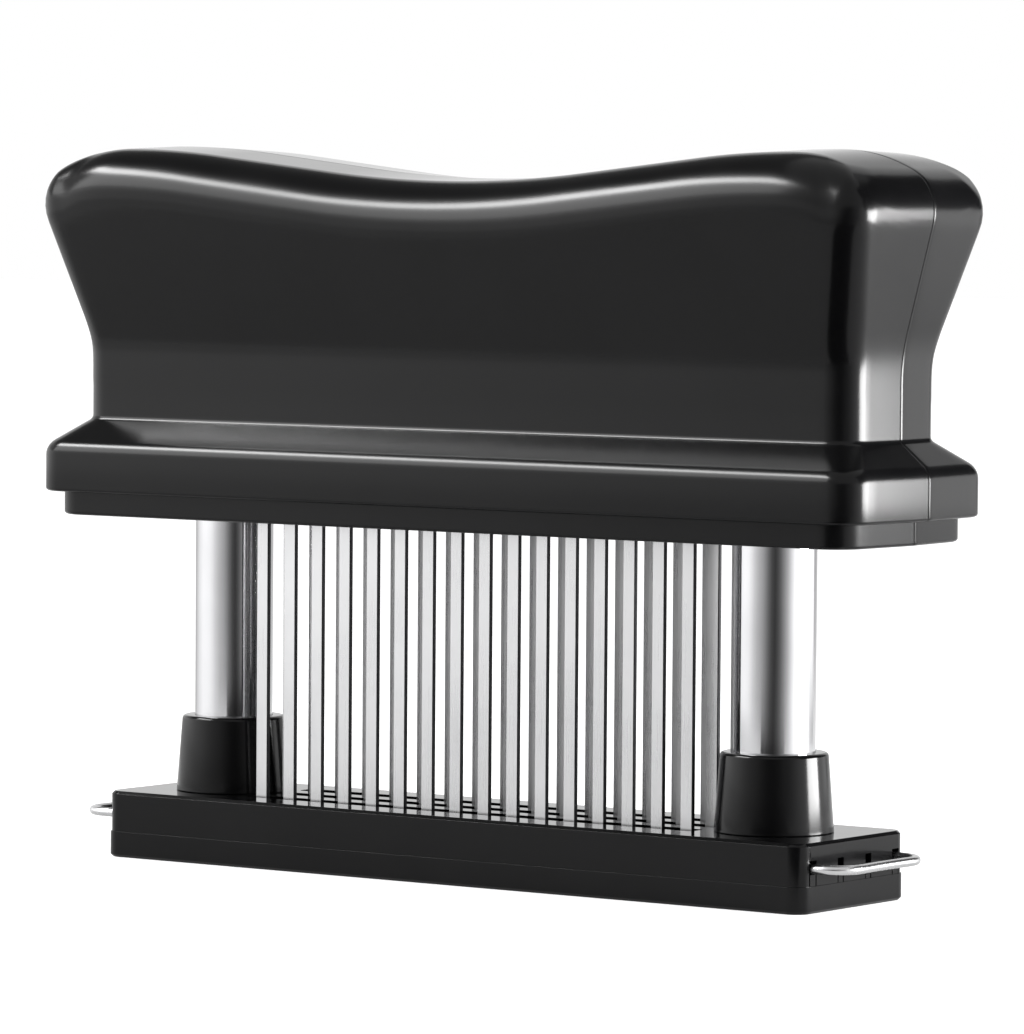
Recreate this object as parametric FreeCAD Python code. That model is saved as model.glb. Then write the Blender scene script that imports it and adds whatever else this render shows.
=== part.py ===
import FreeCAD, Part
import math
import os

# Blade meat tenderizer: a moulded grip with three rows of strip blades slides down two
# steel columns over a slotted base, and springs inside the columns lift it again.
# Millimetres. +X runs along the grip, the front faces -Y and +Z is up. The origin is the
# middle of the base's underside, and the grip is modelled in its raised rest position.

Vector = FreeCAD.Vector

# ---- grip: outside form. Half sizes are taken at the parting plane Y = 0 ----
wall = 2.2
rest_height = 52.6          # underside of the skirt above the table, grip raised
flange_half_length = 76.0
flange_half_depth = 18.4
flange_height = 7.1
flange_edge_radius = 2.8
skirt_height = 3.6
skirt_end_step = 2.4        # the skirt stands back this far below the flange
skirt_face_step = 1.8
shoulder_rise = 4.1         # slope between the flange and the neck
neck_end_step = 4.9         # the neck stands back this far above the flange
neck_face_step = 6.0
end_flare_height = 12.2     # the ends start to flare this far above the crease
end_flare_angle = 15.0
end_flare_radius = 30.0
face_lean_height = 11.6     # the faces start to lean outwards this far above the crease
face_lean_angle = 16.8
face_lean_radius = 9.0
saddle_height = 52.15       # middle of the top above the skirt's underside
crown_rise = 4.6            # highest part of the top above its middle
crown_inset = 10.6          # the two crowns lie this far in from the neck's ends
crown_rise_angle = 6.4      # slope from the saddle up to a crown
crown_fall_angle = 22.9     # slope from a crown down to the end
crown_inner_radius = 143.0
crown_outer_radius = 27.0
hump_radius = 6.9           # end of the hump, seen from the front
face_edge_radius = 7.0      # long rounding between the faces and the top
face_edge_stop = 4.0        # degrees: the rounding ends this much short of the face
corner_radius = 4.5         # upright corners
end_draft = 4.5             # degrees, away from the parting plane, at the ends
top_draft = 2.0             # the same on the top

# ---- columns ----
tube_spacing = 100.0
tube_diameter = 12.0
tube_wall = 0.8
ring_groove_depth = 0.4
ring_thickness = 1.2
ring_diameter = 15.5
ring_mouth = 8.0
ring_edge = 0.8             # tube left above the ring groove
running_clearance = 0.1     # radial, bush on tube
seat_clearance = 0.05       # radial, pieces pressed or screwed together
stop_gap = 0.1

# ---- base ----
base_length = 128.05
base_depth = 28.16
base_height = 10.16
base_corner_radius = 2.5
base_edge = 0.45
cover_wall = 1.4
cover_top = 1.6
plate_height = 3.95
plate_proud = 0.2
plate_floor = 1.8
plate_rim = 2.2
plate_edge = 0.4
boss_diameter = 17.0
boss_floor_bottom = 4.2
boss_floor = 2.0
collar_foot_diameter = 17.6
collar_top_diameter = 15.8
collar_top_height = 21.8
collar_edge = 0.5

# ---- blades ----
blade_count = 16
blade_pitch = 5.225
row_spacing = 6.48
blade_width = 2.16
blade_thickness = 0.8
blade_tip_height = 5.0
blade_slant = 1.7
blade_bevel = 2.6
blade_edge = 0.12
blade_head_width = 3.8
blade_head_height = 1.45
blade_clearance = 0.1       # each side, in the carrier's slits
row_slot_width = 3.4        # in cover and plate
row_slot_corner = 0.8
row_slot_end = 0.75         # slot beyond the outermost blade
slot_frame = 1.5            # material of the slot frames beyond the slots

# ---- blade carrier and clamp ----
carrier_fit = 0.3           # carrier inside the skirt
carrier_recess = 0.5
carrier_plate = 3.0
carrier_block_height = 12.1
carrier_block_gap = 1.1     # each side, between the blade block and the insides of the shells
bush_boss_diameter = 17.0
bush_diameter = 14.4
bush_flange_diameter = 16.4
bush_flange = 1.2
bush_height = 10.5
clamp_thickness = 2.5
clamp_screw_pitches = 6     # the screws sit this many blade pitches from the middle
clamp_screw_diameter = 2.5
clamp_screw_length = 10.0
clamp_head_diameter = 4.4
clamp_head_height = 1.6
shell_screw_end_inset = 9.6     # screws in from the skirt's ends and from the neck's faces
shell_screw_face_inset = 3.7
shell_screw_diameter = 3.0
shell_screw_length = 11.0
shell_head_diameter = 5.4
shell_head_height = 1.8
shell_boss_width = 5.6
shell_boss_floor = 2.0      # boss above the tip of its screw
screw_hole_clearance = 0.2

# ---- square pegs that line up the two shells ----
peg_width = 2.6
peg_length = 3.0
peg_boss_width = 5.0
peg_clearance = 0.1
outer_peg_inset = 6.8       # in from the ends of the neck
middle_peg_rise = 28.2      # pegs above the crease
outer_peg_rise = 10.2

# ---- springs and their seats ----
plug_height = 14.0
tube_screw_diameter = 4.0
tube_screw_length = 9.5
tube_screw_head = 7.5
tube_screw_head_height = 2.0
spring_wire = 1.0
spring_diameter = 9.4
spring_turns = 12
spring_top_drop = 6.75      # top of the springs below the middle of the grip's top
post_flange_diameter = 11.0
post_flange = 2.0
post_diameter = 6.0
post_length = 8.0
post_spigot_diameter = 5.0
web_thickness = 2.0
web_half_width = 7.0

# ---- wire lock pins ----
pin_wire = 1.4
pin_height = 6.45
pin_half_spread = 11.0
pin_reach = 5.4             # crossbar beyond the end of the base
left_pin_out = 1.6          # the left pin rests this much further out than the right one
pin_bend_radius = 4.2
pin_leg_length = 24.4       # straight part of each leg
pin_clearance = 0.1
lug_thickness = 2.0
lug_half_width = 1.5
outer_lug_inset = 4.2       # lugs of the plate, in from its ends and from the tubes
inner_lug_offset = 4.0
lug_gap = 0.15
middle_slot_offset = 3.67
end_slot_width = 1.6
end_slot_rib_gap = 0.25
end_slot_rise = 0.4         # the slots reach this far above the pins' passages

# ---- working allowances: how far forms run into each other and cutters run past ----
overlap = 2.0
past = 1.0
slope_run = 1.2             # the shoulder's slope runs on by this share, inside the neck
hollow_run = 1.1
top_run = 4.0               # the top's form past the grip's ends and faces
least_step = 0.05           # stations of the top closer than this are one

# ---- places worked out from the sizes above ----
skirt_half_length = flange_half_length - skirt_end_step
skirt_half_depth = flange_half_depth - skirt_face_step
neck_half_length = flange_half_length - neck_end_step
neck_half_depth = flange_half_depth - neck_face_step
flange_bottom = rest_height + skirt_height
flange_top = flange_bottom + flange_height
crease = flange_top + shoulder_rise
neck_root = flange_top - overlap    # the neck's form starts inside the flange
end_kink = crease + end_flare_height
face_kink = crease + face_lean_height
saddle_top = rest_height + saddle_height
crown_top = saddle_top + crown_rise
form_top = crown_top + top_run      # the plan forms run past the top before it is cut
crown_half_span = neck_half_length - crown_inset
form_half_depth = flange_half_depth + top_run
shoulder_slope = math.atan2(shoulder_rise, neck_face_step)
shoulder_drop = wall * (1.0 - math.sin(shoulder_slope)) / math.cos(shoulder_slope)

blade_places = [(i - (blade_count - 1) / 2.0) * blade_pitch for i in range(blade_count)]
row_places = (-row_spacing, 0.0, row_spacing)
slot_half_length = blade_places[-1] + blade_width / 2.0 + row_slot_end
frame_half_length = slot_half_length + slot_frame
frame_half_depth = row_spacing + row_slot_width / 2.0 + slot_frame

carrier_bottom = rest_height + carrier_recess
carrier_plate_top = carrier_bottom + carrier_plate
carrier_block_top = carrier_bottom + carrier_block_height
carrier_block_half_depth = neck_half_depth - wall - carrier_block_gap
block_half_length = slot_half_length + blade_clearance
blade_top = carrier_block_top
clamp_top = carrier_block_top + clamp_thickness
clamp_screw_spacing = 2.0 * clamp_screw_pitches * blade_pitch
shell_screw_spacing = 2.0 * (skirt_half_length - shell_screw_end_inset)
shell_screw_offset = neck_half_depth - shell_screw_face_inset
shell_screw_seat = carrier_bottom + shell_head_height
shell_screw_tip = shell_screw_seat + shell_screw_length
bush_top = carrier_bottom + bush_height
bush_flange_bottom = bush_top - bush_flange

tube_radius = tube_diameter / 2.0
tube_bore_radius = tube_radius - tube_wall
tube_places = (-tube_spacing / 2.0, tube_spacing / 2.0)
tube_bottom = boss_floor_bottom + boss_floor
ring_bottom = bush_top + stop_gap
ring_top = ring_bottom + ring_thickness
tube_top = ring_top + ring_edge
plug_top = tube_bottom + plug_height
spring_top = saddle_top - spring_top_drop
web_bottom = spring_top + post_flange

base_half_length = base_length / 2.0
base_half_depth = base_depth / 2.0
cover_ceiling = base_height - cover_top
pin_slot_top = pin_height + pin_wire / 2.0 + pin_clearance + end_slot_rise
outer_lug_place = base_half_length - outer_lug_inset
end_slots = ((pin_half_spread, pin_wire + 2.0 * end_slot_rib_gap, pin_slot_top),
             (middle_slot_offset, end_slot_width, pin_slot_top - pin_clearance))


# ---- outlines ----
def shifted(corners, shifts):
    """Corners of a closed outline whose side i (corner i to i + 1) moves in by shifts[i]."""
    count = len(corners)
    lines = []
    for i in range(count):
        (ax, ay), (bx, by) = corners[i], corners[(i + 1) % count]
        length = math.hypot(bx - ax, by - ay)
        ux, uy = (bx - ax) / length, (by - ay) / length
        lines.append((ax - uy * shifts[i], ay + ux * shifts[i], ux, uy))
    moved = []
    for i in range(count):
        px, py, ux, uy = lines[i - 1]
        qx, qy, vx, vy = lines[i]
        cross = ux * vy - uy * vx
        along = ((qx - px) * vy - (qy - py) * vx) / cross
        moved.append((px + ux * along, py + uy * along))
    return moved


def rounded_wire(corners, radii, place):
    """Closed wire through corners rounded by radii; place turns a flat point into a 3-D one.

    A rounding that doesn't fit is limited to its share of the sides beside it.
    """
    count = len(corners)
    sides = [math.dist(corners[i], corners[(i + 1) % count]) for i in range(count)]
    half_turns = []
    for i in range(count):
        (ax, ay), (bx, by) = corners[i - 1], corners[i]
        cx, cy = corners[(i + 1) % count]
        turn = math.atan2(cy - by, cx - bx) - math.atan2(by - ay, bx - ax)
        half_turns.append(abs(math.remainder(turn, 2.0 * math.pi)) / 2.0)
    reach = [radii[i] * math.tan(half_turns[i]) for i in range(count)]
    share = [min(1.0, sides[i] / max(reach[i] + reach[(i + 1) % count], 1e-9)) for i in range(count)]
    reach = [reach[i] * min(share[i - 1], share[i]) for i in range(count)]
    edges = []
    last = None
    first = None
    for i in range(count):
        bx, by = corners[i]
        ax, ay = corners[i - 1]
        cx, cy = corners[(i + 1) % count]
        back = reach[i] / sides[i - 1]
        ahead = reach[i] / sides[i]
        start = (bx + (ax - bx) * back, by + (ay - by) * back)
        end = (bx + (cx - bx) * ahead, by + (cy - by) * ahead)
        if first is None:
            first = start
        if last is not None and math.dist(last, start) > 1e-6:
            edges.append(Part.makeLine(place(*last), place(*start)))
        if reach[i] > 1e-6:
            radius = reach[i] / math.tan(half_turns[i])
            middle_x, middle_y = (start[0] + end[0]) / 2.0, (start[1] + end[1]) / 2.0
            toward = math.dist((middle_x, middle_y), (bx, by))
            lift = radius * (1.0 - math.cos(half_turns[i])) / toward
            top = (middle_x + (bx - middle_x) * lift, middle_y + (by - middle_y) * lift)
            edges.append(Part.Arc(place(*start), place(*top), place(*end)).toShape())
        last = end
    if math.dist(last, first) > 1e-6:
        edges.append(Part.makeLine(place(*last), place(*first)))
    return Part.Wire(edges)


def level(height):
    """Place for outlines drawn in X and Y at one height."""
    return lambda x, y: Vector(x, y, height)


def prism(wire, direction):
    return Part.Face(wire).extrude(direction)


def slab(half_length, half_depth, radius, bottom, top):
    """Upright block with rounded corners, centred on the axis."""
    corners = [(-half_length, -half_depth), (half_length, -half_depth),
               (half_length, half_depth), (-half_length, half_depth)]
    wire = rounded_wire(corners, [radius] * 4, level(bottom))
    return prism(wire, Vector(0, 0, top - bottom))


def block(x0, x1, y0, y1, z0, z1):
    return Part.makeBox(x1 - x0, y1 - y0, z1 - z0, Vector(x0, y0, z0))


def pillar(radius, x, y, bottom, top):
    return Part.makeCylinder(radius, top - bottom, Vector(x, y, bottom))


def square_post(x, y, width, bottom, top):
    return block(x - width / 2.0, x + width / 2.0, y - width / 2.0, y + width / 2.0, bottom, top)


def ring_wire(radius, centre, axis):
    return Part.Wire(Part.makeCircle(radius, centre, axis))


def fused(shapes):
    return shapes[0].multiFuse(shapes[1:]).removeSplitter()


def mirrored_x(shape):
    return shape.mirror(Vector(0, 0, 0), Vector(1, 0, 0))


def mirrored_y(shape):
    return shape.mirror(Vector(0, 0, 0), Vector(0, 1, 0))


# ---- grip shells ----
def plan_wire(half_length, half_depth, radius, height):
    """Front half of the grip seen from above: a ridge at each end of the parting plane."""
    back = half_depth * math.tan(math.radians(end_draft))
    corners = [(-half_length, 0.0), (-half_length + back, -half_depth),
               (half_length - back, -half_depth), (half_length, 0.0)]
    return rounded_wire(corners, [0.0, radius, radius, 0.0], level(height))


def hollow_corners(half_length, half_depth):
    """The same outline moved in by the wall, with plain cut corners, for the hollow."""
    back = half_depth * math.tan(math.radians(end_draft))
    cut = corner_radius - wall
    end, face = half_length - wall, half_depth - wall
    return [(-end, 0.0), (-end + back, -face + cut), (-end + back + cut, -face),
            (end - back - cut, -face), (end - back, -face + cut), (end, 0.0)]


def polygon(points, height):
    return Part.makePolygon([Vector(x, y, height) for x, y in points + points[:1]])


def hollow_wire(half_length, half_depth, height):
    return polygon(hollow_corners(half_length, half_depth), height)


def rounding_points(before, corner, after, radius, steps):
    """Points along the rounding of one corner of an open path, from tangent to tangent."""
    (ax, ay), (bx, by), (cx, cy) = before, corner, after
    start_angle = math.atan2(by - ay, bx - ax)
    turn = math.remainder(math.atan2(cy - by, cx - bx) - start_angle, 2.0 * math.pi)
    reach = radius * math.tan(abs(turn) / 2.0)
    side = math.copysign(1.0, turn)
    start_x = bx - reach * math.cos(start_angle)
    start_y = by - reach * math.sin(start_angle)
    centre_x = start_x - side * radius * math.sin(start_angle)
    centre_y = start_y + side * radius * math.cos(start_angle)
    points = []
    for step in range(steps + 1):
        angle = start_angle + turn * step / steps
        points.append((centre_x + side * radius * math.sin(angle),
                       centre_y - side * radius * math.cos(angle)))
    return points


def at_height(path, height):
    """Half size of the grip where a path of (half size, height) points crosses a height."""
    for (low, z0), (high, z1) in zip(path, path[1:]):
        if height <= z1:
            return low + (high - low) * (height - z0) / (z1 - z0)
    return path[-1][0]


def leaning_path(half_size, kink, angle, radius, steps):
    """Half size against height: upright from the neck's root, then leaning outwards."""
    top = (half_size + (form_top - kink) * math.tan(math.radians(angle)), form_top)
    root = (half_size, neck_root - wall)
    return [root] + rounding_points(root, (half_size, kink), top, radius, steps) + [top]


def upper_plan(steps, bottom, wire):
    """Loft of the upper grip's plan from the neck's root to past the top."""
    ends = leaning_path(neck_half_length, end_kink, end_flare_angle, end_flare_radius, steps)
    face = leaning_path(neck_half_depth, face_kink, face_lean_angle, face_lean_radius, steps)
    heights = sorted({round(z, 6) for x, z in ends[1:] + face[1:]} | {bottom})
    return Part.makeLoft([wire(at_height(ends, z), at_height(face, z), z) for z in heights], True, True)


def top_stations(inset, steps):
    """Points (x, z) of the top along the parting plane, from the middle to past the right end.

    steps are the divisions of the hump's, the crown's outer and inner and the saddle's rounding.
    """
    rise, fall = math.radians(crown_rise_angle), math.radians(crown_fall_angle)
    flare = math.tan(math.radians(end_flare_angle))
    outer = crown_half_span + crown_outer_radius * math.tan(fall / 2.0)
    inner = crown_half_span - crown_inner_radius * math.tan(rise / 2.0)
    saddle = inner - crown_rise / math.tan(rise)
    # the hump's corner is where the flared end meets the falling side of the crown
    drop = crown_top - end_kink + outer * math.tan(fall)
    hump_x = (neck_half_length + drop * flare) / (1.0 + math.tan(fall) * flare)
    hump_z = end_kink + (hump_x - neck_half_length) / flare
    corners = [(neck_half_length, end_kink), (hump_x, hump_z), (outer, crown_top), (inner, crown_top),
               (saddle, saddle_top), (-neck_half_length, saddle_top)]
    moved = shifted(corners, [inset] * len(corners))
    radii = (hump_radius - inset, crown_outer_radius - inset, crown_inner_radius - inset,
             saddle / math.tan(rise / 2.0) + inset)
    stations = []
    for i, (radius, count) in enumerate(zip(radii, steps)):
        stations += rounding_points(moved[i], moved[i + 1], moved[i + 2], radius, count)
    # the last stretch runs on, past the end of the plan's form
    (x0, z0), (x1, z1) = stations[2], stations[1]
    past_end = top_run / math.dist((x0, z0), (x1, z1))
    return stations[:0:-1] + [(x1 + (x1 - x0) * past_end, z1 + (z1 - z0) * past_end)]


def top_section(x, top, inset, rounded):
    """Section of the upper grip at one place along it: the top, its draft and the long rounding."""
    radius = face_edge_radius - inset
    draft, lean = math.radians(top_draft), math.radians(face_lean_angle)
    rounding_height = top - radius / math.cos(draft) - face_kink
    forward = neck_half_depth - inset + rounding_height * math.tan(lean) - radius / math.cos(lean)
    forward /= 1.0 + math.tan(draft) * math.tan(lean)
    centre_z = top - forward * math.tan(draft) - radius / math.cos(draft)
    first, last = math.pi / 2.0 - draft, -lean + math.radians(face_edge_stop)

    def on_rounding(angle):
        return Vector(x, -forward - radius * math.cos(angle), centre_z + radius * math.sin(angle))

    low = neck_root - inset
    corners = [Vector(x, -form_half_depth, low), Vector(x, 0.0, low), Vector(x, 0.0, top),
               on_rounding(first)]
    edges = [Part.makeLine(a, b) for a, b in zip(corners, corners[1:])]
    if rounded:
        middle = on_rounding((first + last) / 2.0)
        edges.append(Part.Arc(on_rounding(first), middle, on_rounding(last)).toShape())
    else:
        edges.append(Part.makeLine(on_rounding(first), on_rounding(last)))
    return Part.Wire(edges + [Part.makeLine(on_rounding(last), corners[0])])


def top_form(inset, steps, rounded):
    """Everything under the top of the grip, longer and deeper than the grip itself."""
    right = top_stations(inset, steps)
    stations = [(-x, z) for x, z in reversed(right)] + right
    apart = [point for i, point in enumerate(stations)
             if i == 0 or point[0] - stations[i - 1][0] > least_step]
    return Part.makeLoft([top_section(x, z, inset, rounded) for x, z in apart], True, True)


def flange_and_shoulder():
    """Flange with its rounded upper edge, and the slope up to the neck."""
    turn = math.pi / 2.0 - shoulder_slope
    start = flange_top - flange_edge_radius * math.tan(turn / 2.0)
    wires = [plan_wire(flange_half_length, flange_half_depth, corner_radius, flange_bottom)]
    for step in range(4):
        angle = turn * step / 3.0
        back = flange_edge_radius * (1.0 - math.cos(angle))
        wires.append(plan_wire(flange_half_length - back, flange_half_depth - back, corner_radius,
                               start + flange_edge_radius * math.sin(angle)))
    # the slope runs on a little inside the neck, so that the two forms meet cleanly
    wires.append(plan_wire(flange_half_length - neck_end_step * slope_run,
                           flange_half_depth - neck_face_step * slope_run,
                           corner_radius, flange_top + shoulder_rise * slope_run))
    return Part.makeLoft(wires, True, True)


def grip_form():
    """Front half of the grip's outside form."""
    skirt = prism(plan_wire(skirt_half_length, skirt_half_depth, corner_radius, rest_height),
                  Vector(0, 0, skirt_height))
    upper = upper_plan(3, neck_root, lambda length, depth, z: plan_wire(length, depth, corner_radius, z))
    upper = upper.common(top_form(0.0, (5, 2, 2, 3), True))
    return fused([skirt, flange_and_shoulder(), upper])


def grip_hollow():
    """The hollow in the front half, one wall inside the form and open below."""
    skirt = prism(hollow_wire(skirt_half_length, skirt_half_depth, rest_height - past),
                  Vector(0, 0, skirt_height + wall + past))
    flange = prism(hollow_wire(flange_half_length, flange_half_depth, flange_bottom + wall),
                   Vector(0, 0, flange_height - shoulder_drop - wall))
    shoulder = Part.makeLoft(
        [hollow_wire(flange_half_length, flange_half_depth, flange_top - shoulder_drop),
         hollow_wire(flange_half_length - neck_end_step * hollow_run,
                     flange_half_depth - neck_face_step * hollow_run,
                     flange_top - shoulder_drop + shoulder_rise * hollow_run)], True, True)
    upper = upper_plan(1, neck_root - wall, hollow_wire)
    return fused([skirt, flange, shoulder, upper.common(top_form(wall, (3, 1, 1, 3), False))])


def half_depth_at(height):
    """Half depth of the upper grip's flat face at a height."""
    return neck_half_depth + max(height - face_kink, 0.0) * math.tan(math.radians(face_lean_angle))


def shell_half():
    """Hollow half shell with its screw bosses, spring webs and peg bosses, open on Y = 0."""
    added = [grip_form().cut(grip_hollow())]
    cuts = []
    for side in (-1.0, 1.0):
        x = side * shell_screw_spacing / 2.0
        added.append(square_post(x, -shell_screw_offset, shell_boss_width, carrier_plate_top,
                                 shell_screw_tip + shell_boss_floor))
        cuts.append(pillar(shell_screw_diameter / 2.0 + seat_clearance, x, -shell_screw_offset,
                           carrier_plate_top - past, shell_screw_tip + seat_clearance))
        tube_x = side * tube_spacing / 2.0
        reach = half_depth_at(web_bottom) - wall / 2.0
        added.append(block(tube_x - web_half_width, tube_x + web_half_width, -reach, 0.0,
                           web_bottom, web_bottom + web_thickness))
        cuts.append(pillar(post_spigot_diameter / 2.0 + peg_clearance, tube_x, 0.0,
                           web_bottom - past, web_bottom + web_thickness + past))
    half_boss = peg_boss_width / 2.0
    for x, z in peg_places():
        reach = half_depth_at(z - half_boss) - wall / 2.0
        added.append(block(x - half_boss, x + half_boss, -reach, 0.0, z - half_boss, z + half_boss))
    return fused(added).cut(fused(cuts))


def peg_places():
    """Places (x, z) of the pegs: one high in the middle and one low at each end."""
    outer = neck_half_length - outer_peg_inset
    low, high = crease + outer_peg_rise, crease + middle_peg_rise
    return [(0.0, high), (-outer, low), (outer, low)]


def peg_block(x, z, width, length):
    """Square bar from just inside the front boss to length behind the parting plane."""
    return block(x - width / 2.0, x + width / 2.0, -past, length, z - width / 2.0, z + width / 2.0)


def grip_shells():
    """Front shell with pegs and rear shell with their sockets."""
    half = shell_half()
    pegs = [peg_block(x, z, peg_width, peg_length) for x, z in peg_places()]
    sockets = [peg_block(x, z, peg_width + 2.0 * peg_clearance, peg_length + peg_clearance)
               for x, z in peg_places()]
    return fused([half] + pegs), mirrored_y(half).cut(fused(sockets))


# ---- blades, carrier and clamp ----
def strip_blade():
    """One strip blade at the middle of its row: slanted, bevelled tip and a T-head."""
    half, head = blade_width / 2.0, blade_head_width / 2.0
    neck = blade_top - blade_head_height
    front = [(-half, blade_tip_height + blade_slant), (half, blade_tip_height), (half, neck), (head, neck),
             (head, blade_top), (-head, blade_top), (-head, neck), (-half, neck)]
    thick = blade_thickness / 2.0
    side = [(-thick, blade_tip_height - past), (-thick + blade_edge, blade_tip_height - past),
            (-thick + blade_edge, blade_tip_height), (thick, blade_tip_height + blade_bevel),
            (thick, blade_top), (-thick, blade_top)]
    flat = rounded_wire(front, [0.0] * len(front), lambda x, z: Vector(x, -thick, z))
    edge_on = rounded_wire(side, [0.0] * len(side), lambda y, z: Vector(-head, y, z))
    return prism(flat, Vector(0, blade_thickness, 0)).common(prism(edge_on, Vector(2.0 * head, 0, 0)))


def blade_row(row_y):
    blade = strip_blade()
    return Part.makeCompound([blade.translated(Vector(x, row_y, 0)) for x in blade_places])


def blade_block(bottom, top):
    """Block as long as the blade rows, between the two shells."""
    return block(-block_half_length, block_half_length, -carrier_block_half_depth, carrier_block_half_depth,
                 bottom, top)


def carrier():
    """Moulding that closes the skirt, holds the blades in slits and carries both bushes."""
    front = hollow_corners(skirt_half_length, skirt_half_depth)
    outline = front + [(x, -y) for x, y in reversed(front[1:-1])]
    plan = polygon(shifted(outline, [carrier_fit] * len(outline)), carrier_bottom)
    solids = [prism(plan, Vector(0, 0, carrier_plate)), blade_block(carrier_bottom, carrier_block_top)]
    cuts = []
    slits = []
    for x in tube_places:
        solids.append(pillar(bush_boss_diameter / 2.0, x, 0.0, carrier_bottom, bush_flange_bottom))
        cuts.append(pillar(bush_diameter / 2.0 + seat_clearance, x, 0.0, carrier_bottom - past, tube_top))
    for x, y in shell_screw_places():
        cuts.append(pillar(shell_screw_diameter / 2.0 + screw_hole_clearance, x, y, carrier_bottom - past,
                           carrier_plate_top + past))
        cuts.append(pillar(shell_head_diameter / 2.0 + screw_hole_clearance, x, y, carrier_bottom - past,
                           shell_screw_seat))
    for x, y in clamp_screw_places():
        cuts.append(pillar(clamp_screw_diameter / 2.0 + seat_clearance, x, y,
                           clamp_top - clamp_screw_length - past, carrier_block_top + past))
    half_slit = blade_width / 2.0 + blade_clearance
    half_gap = blade_thickness / 2.0 + blade_clearance
    head_end = blade_places[-1] + blade_head_width / 2.0 + blade_clearance
    head_floor = blade_top - blade_head_height
    for y in row_places:
        slits.append(block(-head_end, head_end, y - half_gap, y + half_gap,
                           head_floor, carrier_block_top + past))
        for x in blade_places:
            slits.append(block(x - half_slit, x + half_slit, y - half_gap, y + half_gap,
                               carrier_bottom - past, head_floor + past))
    return fused(solids).cut(Part.makeCompound(cuts)).cut(fused(slits))


def shell_screw_places():
    return [(sx * shell_screw_spacing / 2.0, sy * shell_screw_offset) for sx in (-1, 1) for sy in (-1, 1)]


def clamp_screw_places():
    return [(sx * clamp_screw_spacing / 2.0, sy * row_spacing / 2.0) for sx in (-1, 1) for sy in (-1, 1)]


def clamp_plate():
    radius = clamp_screw_diameter / 2.0 + screw_hole_clearance
    holes = [pillar(radius, x, y, carrier_block_top - past, clamp_top + past)
             for x, y in clamp_screw_places()]
    return blade_block(carrier_block_top, clamp_top).cut(Part.makeCompound(holes))


def screw(x, y, seat, up, diameter, length, head_diameter, head_height):
    """Pan-head screw whose head sits at height seat; its shank points down, or up if up is 1."""
    shank = Part.makeCylinder(diameter / 2.0, length, Vector(x, y, seat), Vector(0, 0, up))
    head = Part.makeCylinder(head_diameter / 2.0, head_height, Vector(x, y, seat), Vector(0, 0, -up))
    return shank.fuse(head).removeSplitter()


def clamp_screws():
    return Part.makeCompound([
        screw(x, y, clamp_top, -1, clamp_screw_diameter, clamp_screw_length, clamp_head_diameter,
              clamp_head_height) for x, y in clamp_screw_places()])


def carrier_screws():
    return Part.makeCompound([
        screw(x, y, shell_screw_seat, 1, shell_screw_diameter, shell_screw_length, shell_head_diameter,
              shell_head_height) for x, y in shell_screw_places()])


def guide_bush(x):
    body = pillar(bush_diameter / 2.0, x, 0.0, carrier_bottom, bush_top)
    flange = pillar(bush_flange_diameter / 2.0, x, 0.0, bush_flange_bottom, bush_top)
    bore = pillar(tube_radius + running_clearance, x, 0.0, carrier_bottom - past, bush_top + past)
    return body.fuse(flange).removeSplitter().cut(bore)


# ---- columns ----
def column_tube(x):
    tube = pillar(tube_radius, x, 0.0, tube_bottom, tube_top).cut(
        pillar(tube_bore_radius, x, 0.0, tube_bottom - past, tube_top + past))
    groove = pillar(tube_radius + past, x, 0.0, ring_bottom, ring_top).cut(
        pillar(tube_radius - ring_groove_depth, x, 0.0, ring_bottom - past, ring_top + past))
    return tube.cut(groove)


def retaining_rings():
    """Open rings that snap into the tubes' grooves, with their mouths to the back."""
    bore = tube_radius - ring_groove_depth + seat_clearance
    rings = []
    for x in tube_places:
        ring = pillar(ring_diameter / 2.0, x, 0.0, ring_bottom, ring_top).cut(
            pillar(bore, x, 0.0, ring_bottom - past, ring_top + past))
        mouth = block(x - ring_mouth / 2.0, x + ring_mouth / 2.0, 0.0, ring_diameter,
                      ring_bottom - past, ring_top + past)
        rings.append(ring.cut(mouth))
    return Part.makeCompound(rings)


def collar(x):
    """Tapered collar with a bevelled rim, standing on the cover."""
    foot = base_height
    top_radius = collar_top_diameter / 2.0
    rings = [(collar_foot_diameter / 2.0, foot),
             (top_radius, collar_top_height - collar_edge),
             (top_radius - collar_edge, collar_top_height)]
    wires = [ring_wire(radius, Vector(x, 0, z), Vector(0, 0, 1)) for radius, z in rings]
    bore = pillar(tube_radius + seat_clearance, x, 0.0, foot - past, collar_top_height + past)
    return Part.makeLoft(wires, True, True).cut(bore)


def tube_plug(x):
    plug = pillar(tube_bore_radius - seat_clearance, x, 0.0, tube_bottom, plug_top)
    return plug.cut(pillar(tube_screw_diameter / 2.0 + seat_clearance, x, 0.0, tube_bottom - past,
                           boss_floor_bottom + tube_screw_length + past))


def tube_screws():
    return Part.makeCompound([
        screw(x, 0.0, boss_floor_bottom, 1, tube_screw_diameter, tube_screw_length, tube_screw_head,
              tube_screw_head_height) for x in tube_places])


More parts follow.
